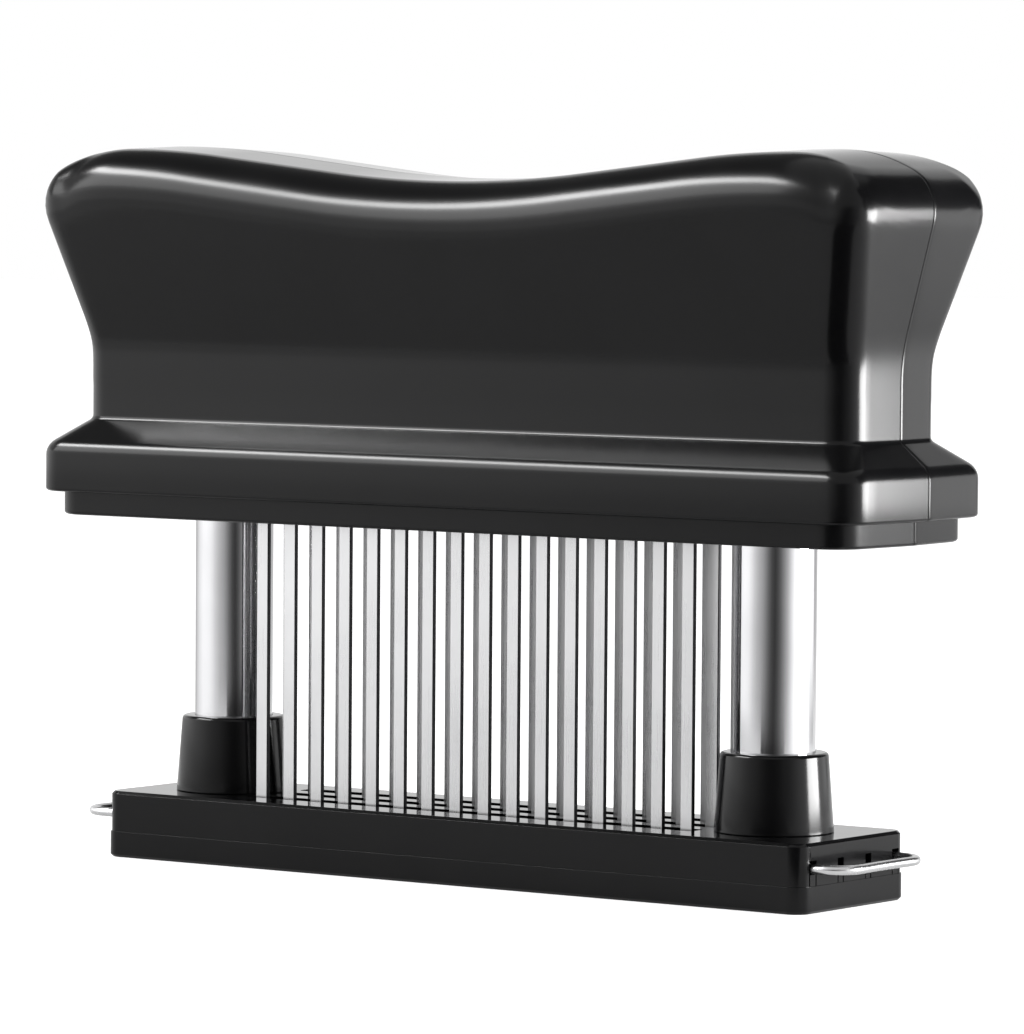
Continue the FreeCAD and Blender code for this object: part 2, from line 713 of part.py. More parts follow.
# ---- springs ----
def return_spring(x):
    """Helical spring of square wire in flat facets, from the tube plug up to the spring post."""
    steps_per_turn = 10
    radius = (spring_diameter - spring_wire) / 2.0
    bottom, top = plug_top + spring_wire / 2.0, spring_top - spring_wire / 2.0
    count = spring_turns * steps_per_turn
    sections = []
    for step in range(count + 1):
        turn = 2.0 * math.pi * step / steps_per_turn
        height = bottom + (top - bottom) * step / count
        corners = []
        for out, up in ((-0.5, -0.5), (0.5, -0.5), (0.5, 0.5), (-0.5, 0.5)):
            reach = radius + spring_wire * out
            corners.append(Vector(x + reach * math.cos(turn), reach * math.sin(turn),
                                  height + spring_wire * up))
        sections.append(corners)
    facets = [sections[0], sections[-1]]
    for here, there in zip(sections, sections[1:]):
        for i in range(4):
            j = (i + 1) % 4
            facets.append([here[i], here[j], there[j]])
            facets.append([here[i], there[j], there[i]])
    faces = [Part.Face(Part.makePolygon(corners + corners[:1])) for corners in facets]
    return Part.makeSolid(Part.makeShell(faces))


def spring_post(x):
    """Upper spring seat: a flange under the shells' webs, a post in the spring, a spigot above."""
    return fused([pillar(post_flange_diameter / 2.0, x, 0.0, spring_top, web_bottom),
                  pillar(post_diameter / 2.0, x, 0.0, spring_top - post_length, spring_top),
                  pillar(post_spigot_diameter / 2.0, x, 0.0, web_bottom, web_bottom + web_thickness)])


# ---- base ----
def row_slots(bottom, top):
    """Cutters for the three long slots that the blades pass through."""
    slot = slab(slot_half_length, row_slot_width / 2.0, row_slot_corner, bottom, top)
    return Part.makeCompound([slot.translated(Vector(0, y, 0)) for y in row_places])


def edge_ring(solid, height):
    """Edges of a solid's outside rim that lie at one height."""
    return [edge for edge in solid.Edges
            if all(abs(vertex.Point.z - height) < 1e-6 for vertex in edge.Vertexes)]


def pin_passage(x0, x1, side):
    """Square passage for one leg of a lock pin."""
    half = pin_wire / 2.0 + pin_clearance
    return block(x0, x1, side * pin_half_spread - half, side * pin_half_spread + half,
                 pin_height - half, pin_height + half)


def base_cover():
    """Upper moulding: hollow from below, slot frame, tube bosses, pin webs and open end slots."""
    outer = slab(base_half_length, base_half_depth, base_corner_radius, plate_height, base_height)
    outer = outer.makeChamfer(base_edge, edge_ring(outer, base_height))
    hollow = slab(base_half_length - cover_wall, base_half_depth - cover_wall,
                  base_corner_radius - cover_wall, plate_height - past, cover_ceiling)
    solids = [outer.cut(hollow),
              block(-frame_half_length, frame_half_length, -frame_half_depth, frame_half_depth,
                    plate_height + past, cover_ceiling)]
    cuts = [row_slots(0.0, base_height + past)]
    for x in tube_places:
        solids.append(pillar(boss_diameter / 2.0, x, 0.0, boss_floor_bottom, cover_ceiling))
        cuts.append(pillar(tube_radius + seat_clearance, x, 0.0, tube_bottom, base_height + past))
        cuts.append(pillar(tube_screw_diameter / 2.0 + screw_hole_clearance, x, 0.0,
                           boss_floor_bottom - past, tube_bottom + past))
        for side in (-1.0, 1.0):
            y0, y1 = sorted((side * (boss_diameter / 2.0 - overlap), side * (base_half_depth - cover_wall)))
            solids.append(block(x - lug_thickness / 2.0, x + lug_thickness / 2.0, y0, y1,
                                boss_floor_bottom, cover_ceiling))
            cuts.append(pin_passage(x - lug_thickness, x + lug_thickness, side))
    for end in (-1.0, 1.0):
        x0, x1 = sorted((end * (base_half_length - cover_wall - past), end * (base_half_length + past)))
        for offset, width, top in end_slots:
            for side in (-1.0, 1.0):
                cuts.append(block(x0, x1, side * offset - width / 2.0, side * offset + width / 2.0,
                                  plate_height - past, top))
    cover = fused(solids)
    for cutter in cuts:
        cover = cover.cut(cutter)
    return cover


def base_plate():
    """Lower moulding: tray with a slot frame, ribs in the cover's end slots and lugs for the pins."""
    outer = slab(base_half_length + plate_proud, base_half_depth + plate_proud,
                 base_corner_radius + plate_proud, 0.0, plate_height)
    outer = outer.makeChamfer(plate_edge, edge_ring(outer, 0.0))
    tray = slab(base_half_length + plate_proud - plate_rim, base_half_depth + plate_proud - plate_rim,
                base_corner_radius + plate_proud - plate_rim, plate_floor, plate_height + past)
    solids = [outer.cut(tray),
              block(-frame_half_length, frame_half_length, -frame_half_depth, frame_half_depth,
                    plate_floor, plate_height)]
    cuts = []
    lug_top = cover_ceiling - lug_gap
    rib_top = pin_height - pin_wire / 2.0 - pin_clearance
    for end in (-1.0, 1.0):
        for side in (-1.0, 1.0):
            for place in (outer_lug_place, tube_spacing / 2.0 - inner_lug_offset):
                solids.append(block(end * place - lug_thickness / 2.0, end * place + lug_thickness / 2.0,
                                    side * pin_half_spread - lug_half_width,
                                    side * pin_half_spread + lug_half_width, plate_floor - past, lug_top))
            x0, x1 = sorted((end * (tube_spacing / 2.0 - inner_lug_offset - lug_thickness),
                             end * (outer_lug_place + lug_thickness)))
            cuts.append(pin_passage(x0, x1, side))
            for offset, width, top in end_slots:
                half = width / 2.0 - end_slot_rib_gap
                x0, x1 = sorted((end * (base_half_length - cover_wall), end * base_half_length))
                solids.append(block(x0, x1, side * offset - half, side * offset + half,
                                    plate_height - past, rib_top))
    plate = fused(solids)
    for cutter in cuts + [row_slots(-past, base_height)]:
        plate = plate.cut(cutter)
    return plate


def lock_pin():
    """U-shaped wire pin at the right end of the base, its legs through the cover and the lugs."""
    radius = pin_wire / 2.0
    cross = base_half_length + pin_reach
    straight, side = cross - pin_bend_radius, pin_half_spread - pin_bend_radius
    steps = 6
    half_rings = []
    for step in range(steps + 1):
        angle = math.pi / 2.0 * step / steps
        out = pin_bend_radius * math.sin(angle)
        across = side + pin_bend_radius * math.cos(angle)
        half_rings.append((straight + out, across, Vector(math.cos(angle), -math.sin(angle), 0)))
    leg = (straight - pin_leg_length, pin_half_spread, Vector(1, 0, 0))
    rings = [ring_wire(radius, Vector(x, y, pin_height), axis) for x, y, axis in [leg] + half_rings]
    rings += [ring_wire(radius, Vector(x, -y, pin_height), Vector(-axis.x, axis.y, 0))
              for x, y, axis in reversed([leg] + half_rings)]
    return Part.makeLoft(rings, True, True)


# ---- all nodes ----
def build():
    front, rear = grip_shells()
    nodes = {
        "front_shell": front,
        "rear_shell": rear,
        "blade_carrier": carrier(),
        "clamp_plate": clamp_plate(),
        "clamp_screws": clamp_screws(),
        "carrier_screws": carrier_screws(),
        "retaining_rings": retaining_rings(),
        "tube_screws": tube_screws(),
        "base_cover": base_cover(),
        "base_plate": base_plate(),
        "right_lock_pin": lock_pin(),
        "left_lock_pin": mirrored_x(lock_pin()).translated(Vector(-left_pin_out, 0, 0)),
    }
    for name, y in zip(("front_blades", "middle_blades", "rear_blades"), row_places):
        nodes[name] = blade_row(y)
    for side, x in zip(("left", "right"), tube_places):
        nodes[side + "_tube"] = column_tube(x)
        nodes[side + "_collar"] = collar(x)
        nodes[side + "_tube_plug"] = tube_plug(x)
        nodes[side + "_spring"] = return_spring(x)
        nodes[side + "_spring_post"] = spring_post(x)
        nodes[side + "_guide_bush"] = guide_bush(x)
    return nodes


os.makedirs("parts", exist_ok=True)
for node, shape in sorted(build().items()):
    print(node, len(shape.Solids), "solids", round(shape.Volume, 2), "valid", shape.isValid())
    shape.exportStep("parts/" + node + ".step")
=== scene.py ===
import logging
import math
from dataclasses import dataclass, field
from enum import Enum
from typing import Optional, Sequence

import bmesh
import bpy
import numpy as np
from mathutils import Matrix, Vector


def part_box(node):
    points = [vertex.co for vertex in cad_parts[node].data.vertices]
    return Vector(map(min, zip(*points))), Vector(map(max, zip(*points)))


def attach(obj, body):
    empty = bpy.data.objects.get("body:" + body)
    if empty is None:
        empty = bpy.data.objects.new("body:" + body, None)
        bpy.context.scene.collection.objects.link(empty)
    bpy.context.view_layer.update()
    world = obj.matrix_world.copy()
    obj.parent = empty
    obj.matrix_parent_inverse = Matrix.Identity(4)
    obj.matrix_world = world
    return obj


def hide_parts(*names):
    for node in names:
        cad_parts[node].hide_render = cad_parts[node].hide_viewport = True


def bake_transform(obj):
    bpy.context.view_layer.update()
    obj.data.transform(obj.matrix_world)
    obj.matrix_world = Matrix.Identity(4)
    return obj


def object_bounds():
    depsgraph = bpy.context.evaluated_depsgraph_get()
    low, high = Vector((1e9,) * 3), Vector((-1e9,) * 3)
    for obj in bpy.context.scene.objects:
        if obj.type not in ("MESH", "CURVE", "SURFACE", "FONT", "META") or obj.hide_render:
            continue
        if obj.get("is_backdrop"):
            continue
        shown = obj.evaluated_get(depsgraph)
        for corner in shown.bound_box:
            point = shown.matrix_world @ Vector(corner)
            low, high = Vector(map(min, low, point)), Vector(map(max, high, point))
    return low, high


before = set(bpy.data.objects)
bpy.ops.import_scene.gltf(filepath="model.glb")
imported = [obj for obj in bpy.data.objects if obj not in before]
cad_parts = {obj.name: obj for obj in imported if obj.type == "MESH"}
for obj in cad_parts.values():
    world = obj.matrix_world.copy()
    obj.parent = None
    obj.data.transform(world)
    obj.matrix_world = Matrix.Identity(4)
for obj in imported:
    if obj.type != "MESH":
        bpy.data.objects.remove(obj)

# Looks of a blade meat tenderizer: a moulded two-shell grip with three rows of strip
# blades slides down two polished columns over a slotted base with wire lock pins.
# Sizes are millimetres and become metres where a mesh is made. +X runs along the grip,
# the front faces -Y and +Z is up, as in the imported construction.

Array = np.ndarray
Colour = tuple[float, float, float]
Tree = bpy.types.NodeTree
Node = bpy.types.Node
Socket = bpy.types.NodeSocket
Material = bpy.types.Material
Piece = bpy.types.Object
Finishes = dict[str, Material]

MM = 0.001
WHITE = (1.0, 1.0, 1.0, 1.0)
LOG = logging.getLogger("tenderizer")


class End(Enum):
    """The two ends of the tool, by the sign of X."""

    LEFT = -1
    RIGHT = 1

    @property
    def word(self) -> str:
        """The end's name as it starts a piece's name."""
        return self.name.lower()


class Half(Enum):
    """The two shells of the grip, by the sign of Y."""

    FRONT = -1
    REAR = 1

    @property
    def word(self) -> str:
        """The half's name as it starts a piece's name."""
        return self.name.lower()


class Row(Enum):
    """The three rows of blades, front to rear."""

    FRONT = "front_blades"
    MIDDLE = "middle_blades"
    REAR = "rear_blades"


# ---------------------------------------------------------------- shader groups
def group_tree(name: str, inputs: dict[str, tuple[str, object]], outputs: dict[str, str]) -> Tree:
    """Makes an empty shader group with named sockets.

    Args:
        name: Name of the group.
        inputs: Socket type and default value by name.
        outputs: Socket type by name.

    Returns:
        The group's node tree, with its input and output nodes named "in" and "out".
    """
    tree = bpy.data.node_groups.new(name, "ShaderNodeTree")
    for label, (kind, default) in inputs.items():
        tree.interface.new_socket(name=label, in_out="INPUT", socket_type=kind).default_value = default
    for label, kind in outputs.items():
        tree.interface.new_socket(name=label, in_out="OUTPUT", socket_type=kind)
    tree.nodes.new("NodeGroupInput").name = "in"
    tree.nodes.new("NodeGroupOutput").name = "out"
    return tree


def add(tree: Tree, kind: str, links: Optional[dict] = None, **settings: object) -> Node:
    """Adds a node, sets its properties and fills its inputs.

    Args:
        tree: Tree that gets the node.
        kind: Blender's type name of the node.
        links: Values or output sockets by input name or number.
        **settings: Properties of the node.

    Returns:
        The new node.
    """
    node = tree.nodes.new(kind)
    for key, value in settings.items():
        setattr(node, key, value)
    for key, value in (links or {}).items():
        if isinstance(value, Socket):
            tree.links.new(value, node.inputs[key])
        else:
            node.inputs[key].default_value = value
    return node


def combined(tree: Tree, operation: str, *values: Socket | float) -> Socket:
    """Adds a Math node.

    Args:
        tree: Tree that gets the node.
        operation: Blender's name of the operation.
        *values: Its values or sockets, in order.

    Returns:
        The result's socket.
    """
    return add(tree, "ShaderNodeMath", dict(enumerate(values)), operation=operation).outputs[0]


def ranged(tree: Tree, value: Socket, low: float, high: float, to_low: float, to_high: float) -> Socket:
    """Maps a value from one range to another, clamped.

    Args:
        tree: Tree that gets the node.
        value: The value's socket.
        low: Start of its range.
        high: End of its range.
        to_low: What the start becomes.
        to_high: What the end becomes.

    Returns:
        The result's socket.
    """
    node = add(tree, "ShaderNodeMapRange", {"Value": value, "From Min": low, "From Max": high,
                                            "To Min": to_low, "To Max": to_high})
    return node.outputs["Result"]


def noise(tree: Tree, place: Socket, size: Socket | float, detail: float, roughness: float = 0.5) -> Socket:
    """Adds a noise pattern.

    Args:
        tree: Tree that gets the node.
        place: Where the pattern is read.
        size: Its scale, waves a metre.
        detail: How many finer layers it has.
        roughness: How strong these are.

    Returns:
        The socket of its value, about 0.5 on average.
    """
    node = add(tree, "ShaderNodeTexNoise", {"Vector": place, "Scale": size, "Detail": detail,
                                            "Roughness": roughness})
    return node.outputs["Fac"]


class MouldedSkin:
    """Group for moulded plastic: a fine grain, slow waviness, handling marks and tops rubbed smooth."""

    mark_size = 55.0
    level_from = 0.94
    level_to = 0.99

    def __init__(self) -> None:
        """Builds the group once; a face is level where its normal's Z passes the two limits."""
        tree = group_tree(
            "moulded_skin",
            {"Grain Size": ("NodeSocketFloat", 900.0), "Wave Size": ("NodeSocketFloat", 14.0),
             "Grain Share": ("NodeSocketFloat", 0.2), "Roughness": ("NodeSocketFloat", 0.3),
             "Roughness Spread": ("NodeSocketFloat", 0.03), "Top Polish": ("NodeSocketFloat", 0.1)},
            {"Height": "NodeSocketFloat", "Roughness": "NodeSocketFloat", "Shade": "NodeSocketFloat"})
        given, out = tree.nodes["in"].outputs, tree.nodes["out"].inputs
        surface = add(tree, "ShaderNodeTexCoord").outputs
        grain = noise(tree, surface["Object"], given["Grain Size"], 2.0)
        wave = noise(tree, surface["Object"], given["Wave Size"], 1.0)
        marks = noise(tree, surface["Object"], self.mark_size, 5.0, 0.65)
        fine = combined(tree, "MULTIPLY", grain, given["Grain Share"])
        tree.links.new(combined(tree, "ADD", fine, wave), out["Height"])
        smudge = ranged(tree, marks, 0.35, 0.7, -1.0, 1.0)
        spread = combined(tree, "MULTIPLY_ADD", smudge, given["Roughness Spread"], given["Roughness"])
        upward = add(tree, "ShaderNodeSeparateXYZ", {0: surface["Normal"]}).outputs["Z"]
        level = ranged(tree, upward, self.level_from, self.level_to, 0.0, 1.0)
        polish = combined(tree, "MULTIPLY", level, given["Top Polish"])
        tree.links.new(combined(tree, "SUBTRACT", spread, polish), out["Roughness"])
        tree.links.new(ranged(tree, marks, 0.3, 0.75, 0.0, 1.0), out["Shade"])
        self.tree = tree


class DrawnLines:
    """Group for drawn or ground steel: fine lines along one direction and faint blotches."""

    blotch_size = 60.0

    def __init__(self) -> None:
        """Builds the group once."""
        tree = group_tree(
            "drawn_lines",
            {"Stretch": ("NodeSocketVector", (1.0, 1.0, 0.02)), "Line Size": ("NodeSocketFloat", 2600.0),
             "Roughness": ("NodeSocketFloat", 0.15), "Roughness Spread": ("NodeSocketFloat", 0.05)},
            {"Height": "NodeSocketFloat", "Roughness": "NodeSocketFloat", "Shade": "NodeSocketFloat"})
        given, out = tree.nodes["in"].outputs, tree.nodes["out"].inputs
        place = add(tree, "ShaderNodeTexCoord").outputs["Object"]
        drawn = add(tree, "ShaderNodeVectorMath", {0: place, 1: given["Stretch"]}, operation="MULTIPLY")
        lines = noise(tree, drawn.outputs[0], given["Line Size"], 3.0, 0.6)
        blotch = noise(tree, place, self.blotch_size, 3.0)
        tree.links.new(lines, out["Height"])
        centred = ranged(tree, combined(tree, "ADD", lines, blotch), 0.7, 1.3, -1.0, 1.0)
        spread = combined(tree, "MULTIPLY_ADD", centred, given["Roughness Spread"], given["Roughness"])
        tree.links.new(spread, out["Roughness"])
        tree.links.new(ranged(tree, blotch, 0.3, 0.7, 0.0, 1.0), out["Shade"])
        self.tree = tree


class SideShadeMask:
    """Group that is 1 where a surface faces along X, where the sides of strip steel get a painted shade."""

    def __init__(self) -> None:
        """Builds the group once."""
        tree = group_tree("side_shade_mask", {"Threshold": ("NodeSocketFloat", 0.7)}, {"Mask": "NodeSocketFloat"})
        given, out = tree.nodes["in"].outputs, tree.nodes["out"].inputs
        facing = add(tree, "ShaderNodeSeparateXYZ", {0: add(tree, "ShaderNodeTexCoord").outputs["Normal"]})
        size = combined(tree, "ABSOLUTE", facing.outputs["X"])
        tree.links.new(combined(tree, "GREATER_THAN", size, given["Threshold"]), out["Mask"])
        self.tree = tree


@dataclass
class Effects:
    """The shader groups that the finishes share, built once."""

    skin: MouldedSkin = field(default_factory=MouldedSkin)
    lines: DrawnLines = field(default_factory=DrawnLines)
    # Marks where the blades' sides get their painted shade.
    sides: SideShadeMask = field(default_factory=SideShadeMask)


# ---------------------------------------------------------------- finishes
def opaque(colour: Colour) -> tuple[float, float, float, float]:
    """The colour with full alpha."""
    return (*colour, 1.0)


def new_material(name: str) -> tuple[Material, Tree, Node]:
    """Makes a node material.

    Args:
        name: Name of the material.

    Returns:
        The material, its tree and its Principled BSDF.
    """
    material = bpy.data.materials.new(name)
    material.use_nodes = True
    tree = material.node_tree
    return material, tree, tree.nodes["Principled BSDF"]


def mixed_colour(tree: Tree, share: Socket, low: Socket | Colour, high: Colour) -> Socket:
    """Mixes two colours.

    Args:
        tree: Tree that gets the node.
        share: Share of the second colour.
        low: The first colour, or its socket.
        high: The second colour.

    Returns:
        The result's socket.
    """
    first = low if isinstance(low, Socket) else opaque(low)
    node = add(tree, "ShaderNodeMix", {"Factor": share, 6: first, 7: opaque(high)}, data_type="RGBA")
    return node.outputs[2]


def set_shader(tree: Tree, shader: Node, colour: Socket, effect: Node, strength: float,
               distance: float) -> None:
    """Feeds a shader its colour and a group's roughness and height.

    Args:
        tree: The material's tree.
        shader: Its Principled BSDF.
        colour: Socket of the colour.
        effect: The group's node, which puts out Roughness and Height.
        strength: Strength of the bump.
        distance: Height of the bump, in metres.
    """
    tree.links.new(colour, shader.inputs["Base Color"])
    tree.links.new(effect.outputs["Roughness"], shader.inputs["Roughness"])
    bump = add(tree, "ShaderNodeBump", {"Strength": strength, "Distance": distance,
                                        "Height": effect.outputs["Height"]})
    tree.links.new(bump.outputs["Normal"], shader.inputs["Normal"])


@dataclass(frozen=True)
class PlasticFinish:
    """Injection-moulded plastic. Bump distances are metres."""

    name: str
    slot: str
    dark: Colour
    light: Colour
    roughness: float
    spread: float
    specular: float
    bump: float = 0.12
    bump_distance: float = 0.00002
    grain_size: float = 900.0
    grain_share: float = 0.2
    wave_size: float = 14.0
    top_polish: float = 0.0

    def material(self, effects: Effects) -> Material:
        """Builds the material.

        Args:
            effects: The shared shader groups.

        Returns:
            The new material.
        """
        material, tree, shader = new_material(self.name)
        skin = add(tree, "ShaderNodeGroup",
                   {"Grain Size": self.grain_size, "Wave Size": self.wave_size,
                    "Grain Share": self.grain_share, "Roughness": self.roughness,
                    "Roughness Spread": self.spread, "Top Polish": self.top_polish},
                   node_tree=effects.skin.tree)
        colour = mixed_colour(tree, skin.outputs["Shade"], self.dark, self.light)
        set_shader(tree, shader, colour, skin, self.bump, self.bump_distance)
        shader.inputs["Specular IOR Level"].default_value = self.specular
        return material


@dataclass(frozen=True)
class SteelFinish:
    """Stainless steel with lines left by drawing or grinding. Bump distances are metres."""

    name: str
    slot: str
    dark: Colour
    light: Colour
    roughness: float
    spread: float
    stretch: tuple[float, float, float]
    line_size: float = 2600.0
    bump: float = 0.1
    bump_distance: float = 0.00001
    # Painted shade: faces along X take this near-black colour in place of the shade on the sides.
    side_shade_colour: Optional[Colour] = None

    def material(self, effects: Effects) -> Material:
        """Builds the material.

        Args:
            effects: The shared shader groups.

        Returns:
            The new material.
        """
        material, tree, shader = new_material(self.name)
        lines = add(tree, "ShaderNodeGroup",
                    {"Stretch": self.stretch, "Line Size": self.line_size, "Roughness": self.roughness,
                     "Roughness Spread": self.spread},
                    node_tree=effects.lines.tree)
        colour = mixed_colour(tree, lines.outputs["Shade"], self.dark, self.light)
        # Faces along X take the near-black painted shade colour.
        if self.side_shade_colour is not None:
            side_shading = add(tree, "ShaderNodeGroup", node_tree=effects.sides.tree)
            colour = mixed_colour(tree, side_shading.outputs["Mask"], colour, self.side_shade_colour)
        set_shader(tree, shader, colour, lines, self.bump, self.bump_distance)
        shader.inputs["Metallic"].default_value = 1.0
        return material


DARK_BLACK = (0.0022, 0.0022, 0.0024)
LIGHT_BLACK = (0.0036, 0.0036, 0.0039)
GRIP_PLASTIC = PlasticFinish("grip_plastic", "grip_black", DARK_BLACK, LIGHT_BLACK,
                             roughness=0.21, spread=0.015, specular=0.15, top_polish=0.11)
BASE_PLASTIC = PlasticFinish("base_plastic", "base_black", DARK_BLACK, LIGHT_BLACK,
                             roughness=0.15, spread=0.015, specular=0.15, grain_share=0.1,
                             top_polish=0.08)
INNER_PLASTIC = PlasticFinish("inner_plastic", "inner_black", (0.012, 0.012, 0.0125), (0.02, 0.02, 0.021),
                              roughness=0.5, spread=0.06, specular=0.4, bump=0.3)
BUSH_PLASTIC = PlasticFinish("bush_plastic", "bush_white", (0.66, 0.66, 0.63), (0.74, 0.74, 0.71),
                             roughness=0.4, spread=0.05, specular=0.5)
TUBE_STEEL = SteelFinish("tube_steel_polish", "tube_steel", (0.44, 0.44, 0.45), (0.5, 0.5, 0.51),
                         roughness=0.09, spread=0.02, stretch=(1.0, 1.0, 0.03))
# The blades' sides get a near-black painted shade.
BLADE_STEEL = SteelFinish("blade_steel_ground", "blade_steel", (0.4, 0.4, 0.405), (0.445, 0.445, 0.45),
                          roughness=0.28, spread=0.02, stretch=(1.0, 1.0, 0.015), bump=0.03,
                          side_shade_colour=(0.03, 0.03, 0.032))
WIRE_STEEL = SteelFinish("wire_steel_bright", "wire_steel", (0.45, 0.45, 0.455), (0.52, 0.52, 0.525),
                         roughness=0.27, spread=0.03, stretch=(1.0, 1.0, 1.0), line_size=900.0)
SCREW_STEEL = SteelFinish("screw_steel_plain", "screw_steel", (0.38, 0.38, 0.385), (0.48, 0.48, 0.485),
                          roughness=0.3, spread=0.06, stretch=(1.0, 1.0, 0.2), line_size=1200.0)
FINISHES = (GRIP_PLASTIC, BASE_PLASTIC, INNER_PLASTIC, BUSH_PLASTIC, TUBE_STEEL, BLADE_STEEL, WIRE_STEEL,
            SCREW_STEEL)


# ---------------------------------------------------------------- surfaces
def grid_faces(rows: int, columns: int, around: bool, closed: bool) -> Array:
    """Quads of a grid of points, row by row.

    Args:
        rows: Number of rows.
        columns: Points in a row.
        around: Whether the last column joins the first.
        closed: Whether the last row joins the first.

    Returns:
        Corner numbers, one face a line.
    """
    i = np.arange(rows if closed else rows - 1)[:, None]
    j = np.arange(columns if around else columns - 1)[None, :]
    up, right = (i + 1) % rows, (j + 1) % columns
    corners = [i * columns + j, i * columns + right, up * columns + right, up * columns + j]
    return np.stack([np.broadcast_to(corner, (i.size, j.size)) for corner in corners], -1).reshape(-1, 4)


def grid_normals(points: Array) -> Array:
    """Unit normals of a grid surface: the cross product of its two directions of travel.

    Args:
        points: Rows by columns by three.

    Returns:
        Normals in the same layout; where points coincide, zero.
    """
    along_rows = np.gradient(points, axis=1)
    along_columns = np.gradient(points, axis=0)
    normals = np.cross(along_rows, along_columns)
    length = np.linalg.norm(normals, axis=-1, keepdims=True)
    return normals / np.maximum(length, 1e-12)


def placed(name: str, data: bpy.types.ID) -> Piece:
    """Makes an object of a mesh, lamp or camera and links it to the scene.

    Args:
        name: Name of the object.
        data: What it shows.

    Returns:
        The new object, at the origin.
    """
    made = bpy.data.objects.new(name, data)
    bpy.context.scene.collection.objects.link(made)
    return made


def set_smooth(data: bpy.types.Mesh, smooth: bool) -> None:
    """Shades all faces of a mesh smooth or flat."""
    data.polygons.foreach_set("use_smooth", np.full(len(data.polygons), smooth))


def sharpen(piece: Piece, degrees: float) -> None:
    """Marks edges as sharp where the faces beside them turn by more than an angle."""
    piece.data.set_sharp_from_angle(angle=math.radians(degrees))


@dataclass
class Mesh:
    """Grids gathered for one piece, in millimetres. The shortest edge that stays is in metres."""

    points: list[Array] = field(default_factory=list)
    faces: list[Array] = field(default_factory=list)
    count: int = 0
    shortest_edge: float = 1e-8

    def add_grid(self, grid: Array, around: bool = False, closed: bool = False) -> None:
        """Adds one grid surface.

        Args:
            grid: Points, rows by columns by three.
            around: Whether the last column joins the first.
            closed: Whether the last row joins the first.
        """
        rows, columns = grid.shape[:2]
        self.points.append(grid.reshape(-1, 3))
        self.faces.append(grid_faces(rows, columns, around, closed) + self.count)
        self.count += rows * columns

    def add_copies(self, grid: Array, places: Array, around: bool = False) -> None:
        """Adds one copy of a grid at each place, worked out as whole arrays.

        Args:
            grid: Points, rows by columns by three.
            places: Shifts, one a line.
            around: Whether the last column joins the first.
        """
        rows, columns = grid.shape[:2]
        faces = grid_faces(rows, columns, around, False)
        shifts = self.count + np.arange(len(places)) * rows * columns
        self.points.append((grid.reshape(1, -1, 3) + places[:, None, :]).reshape(-1, 3))
        self.faces.append((faces[None] + shifts[:, None, None]).reshape(-1, 4))
        self.count += len(places) * rows * columns

    def piece(self, name: str, merge: float = 1e-4) -> Piece:
        """Makes the object, merges what coincides and turns the faces outwards.

        Args:
            name: Name of the piece.
            merge: Distance in millimetres under which points are one.

        Returns:
            The new object, at the origin, with smooth faces.
        """
        points, faces = np.concatenate(self.points) * MM, np.concatenate(self.faces)
        data = bpy.data.meshes.new(name)
        data.from_pydata(points.tolist(), [], faces.tolist())
        work = bmesh.new()
        work.from_mesh(data)
        bmesh.ops.remove_doubles(work, verts=work.verts, dist=merge * MM)
        bmesh.ops.dissolve_degenerate(work, edges=work.edges, dist=self.shortest_edge)
        bmesh.ops.recalc_face_normals(work, faces=work.faces)
        work.to_mesh(data)
        work.free()
        set_smooth(data, True)
        data.update()
        return placed(name, data)


def finished(piece: Piece, material: Material, slot: str, body: str, *nodes: str) -> Piece:
    """Dresses a piece and ties it to the construction.

    Args:
        piece: The piece.
        material: Its material.
        slot: The record's material slot; not used.
        body: The body that it moves with.
        *nodes: Nodes of the construction that it stands for.

    Returns:
        The piece.
    """
    piece.data.materials.clear()
    piece.data.materials.append(material)
    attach(piece, body)
    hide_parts(*nodes)
    LOG.info("%s: %d faces, rides on %s", piece.name, len(piece.data.polygons), body)
    return piece


def rounded_path(corners: Sequence[tuple[float, float]], radii: Sequence[float], steps: int) -> Array:
    """An open path whose inner corners are tangent arcs.

    At each corner an arc of the given radius starts radius times the tangent of half the
    turn before the corner and ends as far after it. The first and last corner stay sharp.

    Args:
        corners: Points of the path.
        radii: One radius for each inner corner; 0 leaves it sharp.
        steps: Points of each arc, less one.

    Returns:
        Points, one a line.
    """
    points = np.array(corners, float)
    path = [points[:1]]
    for before, here, after, radius in zip(points, points[1:], points[2:], radii):
        if radius <= 0.0:
            path.append(here[None])
            continue
        start = math.atan2(*(here - before)[::-1])
        turn = math.remainder(math.atan2(*(after - here)[::-1]) - start, 2.0 * math.pi)
        side = math.copysign(1.0, turn)
        reach = radius * math.tan(abs(turn) / 2.0)
        first = here - reach * np.array([math.cos(start), math.sin(start)])
        centre = first + side * radius * np.array([-math.sin(start), math.cos(start)])
        angle = start + turn * np.linspace(0.0, 1.0, steps + 1)
        path.append(centre + side * radius * np.stack([np.sin(angle), -np.cos(angle)], -1))
    path.append(points[-1:])
    return np.concatenate(path)


def circle_angles(count: int) -> Array:
    """Angles of a number of points spaced evenly round a circle, from 0."""
    return 2.0 * math.pi * np.arange(count) / count


def wire_radii(wire: float, count: int) -> Array:
    """Radii along a wire whose ends are rounded.

    Over the last three points of each end the radius falls to 0.6 of the wire's and then
    to nothing.

    Args:
        wire: Diameter of the wire.
        count: Number of points along it.

    Returns:
        One radius for each point.
    """
    end = np.array([0.0, 0.6, 1.0])
    return np.concatenate([end, np.ones(count - 2 * len(end)), end[::-1]]) * wire / 2.0


